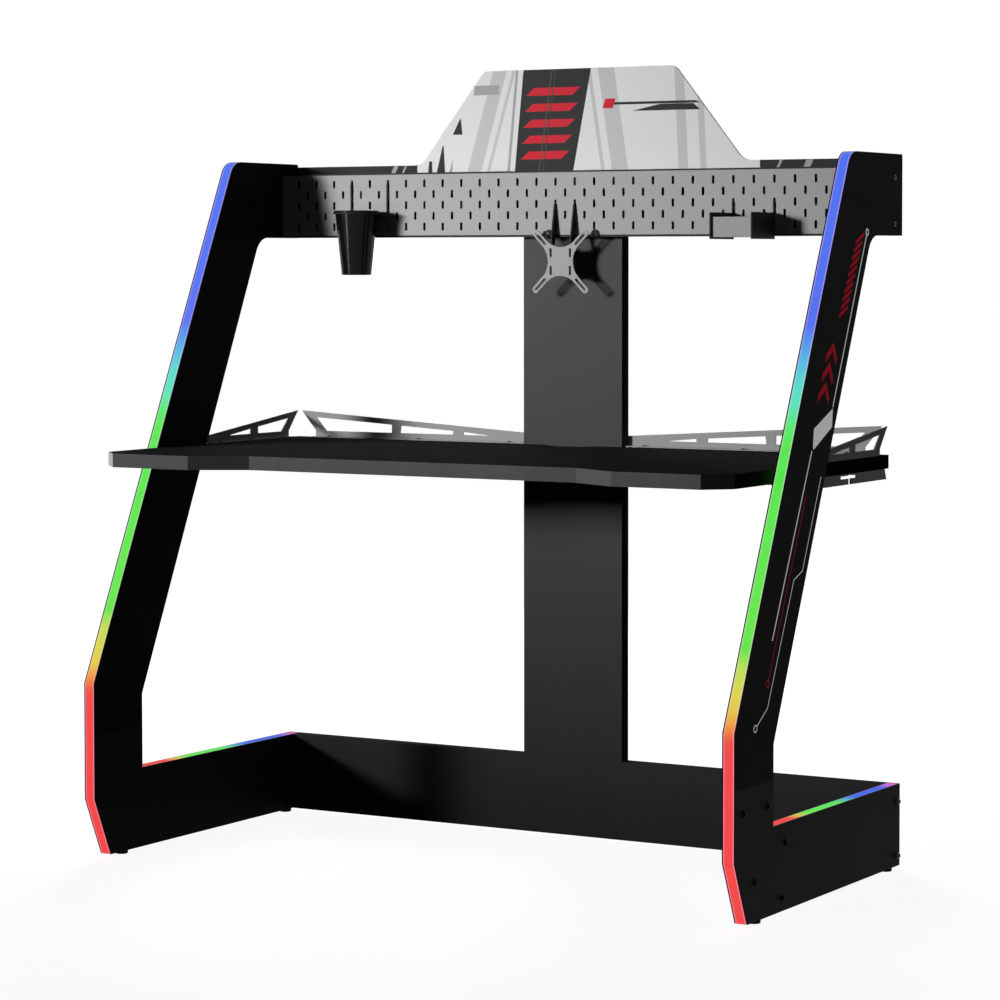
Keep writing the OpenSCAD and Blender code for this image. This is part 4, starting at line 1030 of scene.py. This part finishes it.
def floor_material():
    """White wherever it is seen, with the desk's faint shadow; dull for the light that it throws back."""
    material, tree, shader, place = new_material("studio_floor")
    shader.inputs["Roughness"].default_value = FLOOR_ROUGHNESS
    shader.inputs["Specular IOR Level"].default_value = 0.0
    seen = bright_where_seen(tree)
    tree.links.new(mix_colour(tree, seen, FLOOR_DULL, FLOOR_SEEN), shader.inputs["Base Color"])
    reach = tree.nodes.new("ShaderNodeVectorMath")
    reach.operation = "LENGTH"
    tree.links.new(place, reach.inputs[0])
    far = math_node(tree, "SUBTRACT", reach.outputs["Value"], RISE_START)
    far = math_node(tree, "DIVIDE", far, RISE_RUN, clamp=True)
    white = mix_colour(tree, far, FLOOR_NEAR, WHITE)
    tree.links.new(mix_colour(tree, seen, (0.0, 0.0, 0.0), white), shader.inputs["Emission Color"])
    shader.inputs["Emission Strength"].default_value = 1.0
    return material


def add_lamp(name, place, target, width, height, power, spread):
    data = bpy.data.lights.new(name, "AREA")
    data.shape = "RECTANGLE"
    data.size, data.size_y = width, height
    data.energy = power
    data.spread = math.radians(spread)
    lamp = bpy.data.objects.new(name, data)
    bpy.context.scene.collection.objects.link(lamp)
    lamp.location = place
    lamp.rotation_euler = (Vector(target) - Vector(place)).to_track_quat("-Z", "Y").to_euler()


class DESK_OT_stage(bpy.types.Operator):
    """Sets the floor, the lamps, the world and the camera"""

    bl_idname = "desk.stage"
    bl_label = "Stage"

    def execute(self, context):
        scene = context.scene
        mesh = bpy.data.meshes.new("studio_floor")
        corners = [(x * FLOOR_REACH, y * FLOOR_REACH, 0) for x, y in ((-1, -1), (1, -1), (1, 1), (-1, 1))]
        mesh.from_pydata(corners, [], [(0, 1, 2, 3)])
        floor = bpy.data.objects.new("studio_floor", mesh)
        scene.collection.objects.link(floor)
        mesh.materials.append(floor_material())

        world = bpy.data.worlds.new("studio")
        scene.world = world
        world.use_nodes = True
        tree = world.node_tree
        light = mix_colour(tree, bright_where_seen(tree), (lights().fill,) * 3, WHITE)
        tree.links.new(light, tree.nodes["Background"].inputs["Color"])

        for name, setting, place, target, width, height, spread in LAMPS:
            add_lamp(name, place, target, width, height, getattr(lights(), setting), spread)

        data = bpy.data.cameras.new("studio_camera")
        data.sensor_width = CAMERA_SENSOR
        data.lens = CAMERA_LENS
        data.shift_x, data.shift_y = CAMERA_SHIFT
        data.clip_end = CAMERA_REACH
        camera = bpy.data.objects.new("studio_camera", data)
        scene.collection.objects.link(camera)
        camera.location = CAMERA_PLACE
        camera.rotation_euler = (math.radians(CAMERA_PITCH), 0.0, math.radians(CAMERA_TURN))
        scene.camera = camera
        scene.view_settings.view_transform = "Standard"
        return {"FINISHED"}


# Panel and registration


class DESK_PT_sidebar(bpy.types.Panel):
    """Lists the desk's operators and settings"""

    bl_label = "Gaming desk"
    bl_space_type = "VIEW_3D"
    bl_region_type = "UI"
    bl_category = "Desk"

    def draw(self, context):
        layout = self.layout
        for operator in OPERATORS:
            layout.operator(operator.bl_idname)
        for group in (context.scene.desk_finishes, context.scene.desk_sizes, context.scene.desk_lights):
            box = layout.box()
            for name in group.__annotations__:
                box.prop(group, name)


GROUPS = (DeskFinishes, DeskSizes, DeskLights)
OPERATORS = (
    DESK_OT_stage,
    DESK_OT_boards,
    DESK_OT_light_strips,
    DESK_OT_tool_board,
    DESK_OT_display_sheet,
    DESK_OT_rails,
    DESK_OT_screen_holder,
    DESK_OT_cup,
    DESK_OT_tray,
    DESK_OT_printed_lines,
    DESK_OT_fasteners,
)


def register():
    for group in GROUPS + OPERATORS + (DESK_PT_sidebar,):
        bpy.utils.register_class(group)
    bpy.types.Scene.desk_finishes = PointerProperty(type=DeskFinishes)
    bpy.types.Scene.desk_sizes = PointerProperty(type=DeskSizes)
    bpy.types.Scene.desk_lights = PointerProperty(type=DeskLights)


def unregister():
    for name in ("desk_lights", "desk_sizes", "desk_finishes"):
        delattr(bpy.types.Scene, name)
    for group in reversed(GROUPS + OPERATORS + (DESK_PT_sidebar,)):
        bpy.utils.unregister_class(group)


def main():
    register()
    for operator in OPERATORS:
        family, name = operator.bl_idname.split(".")
        getattr(getattr(bpy.ops, family), name)()


if __name__ == "__main__":
    main()
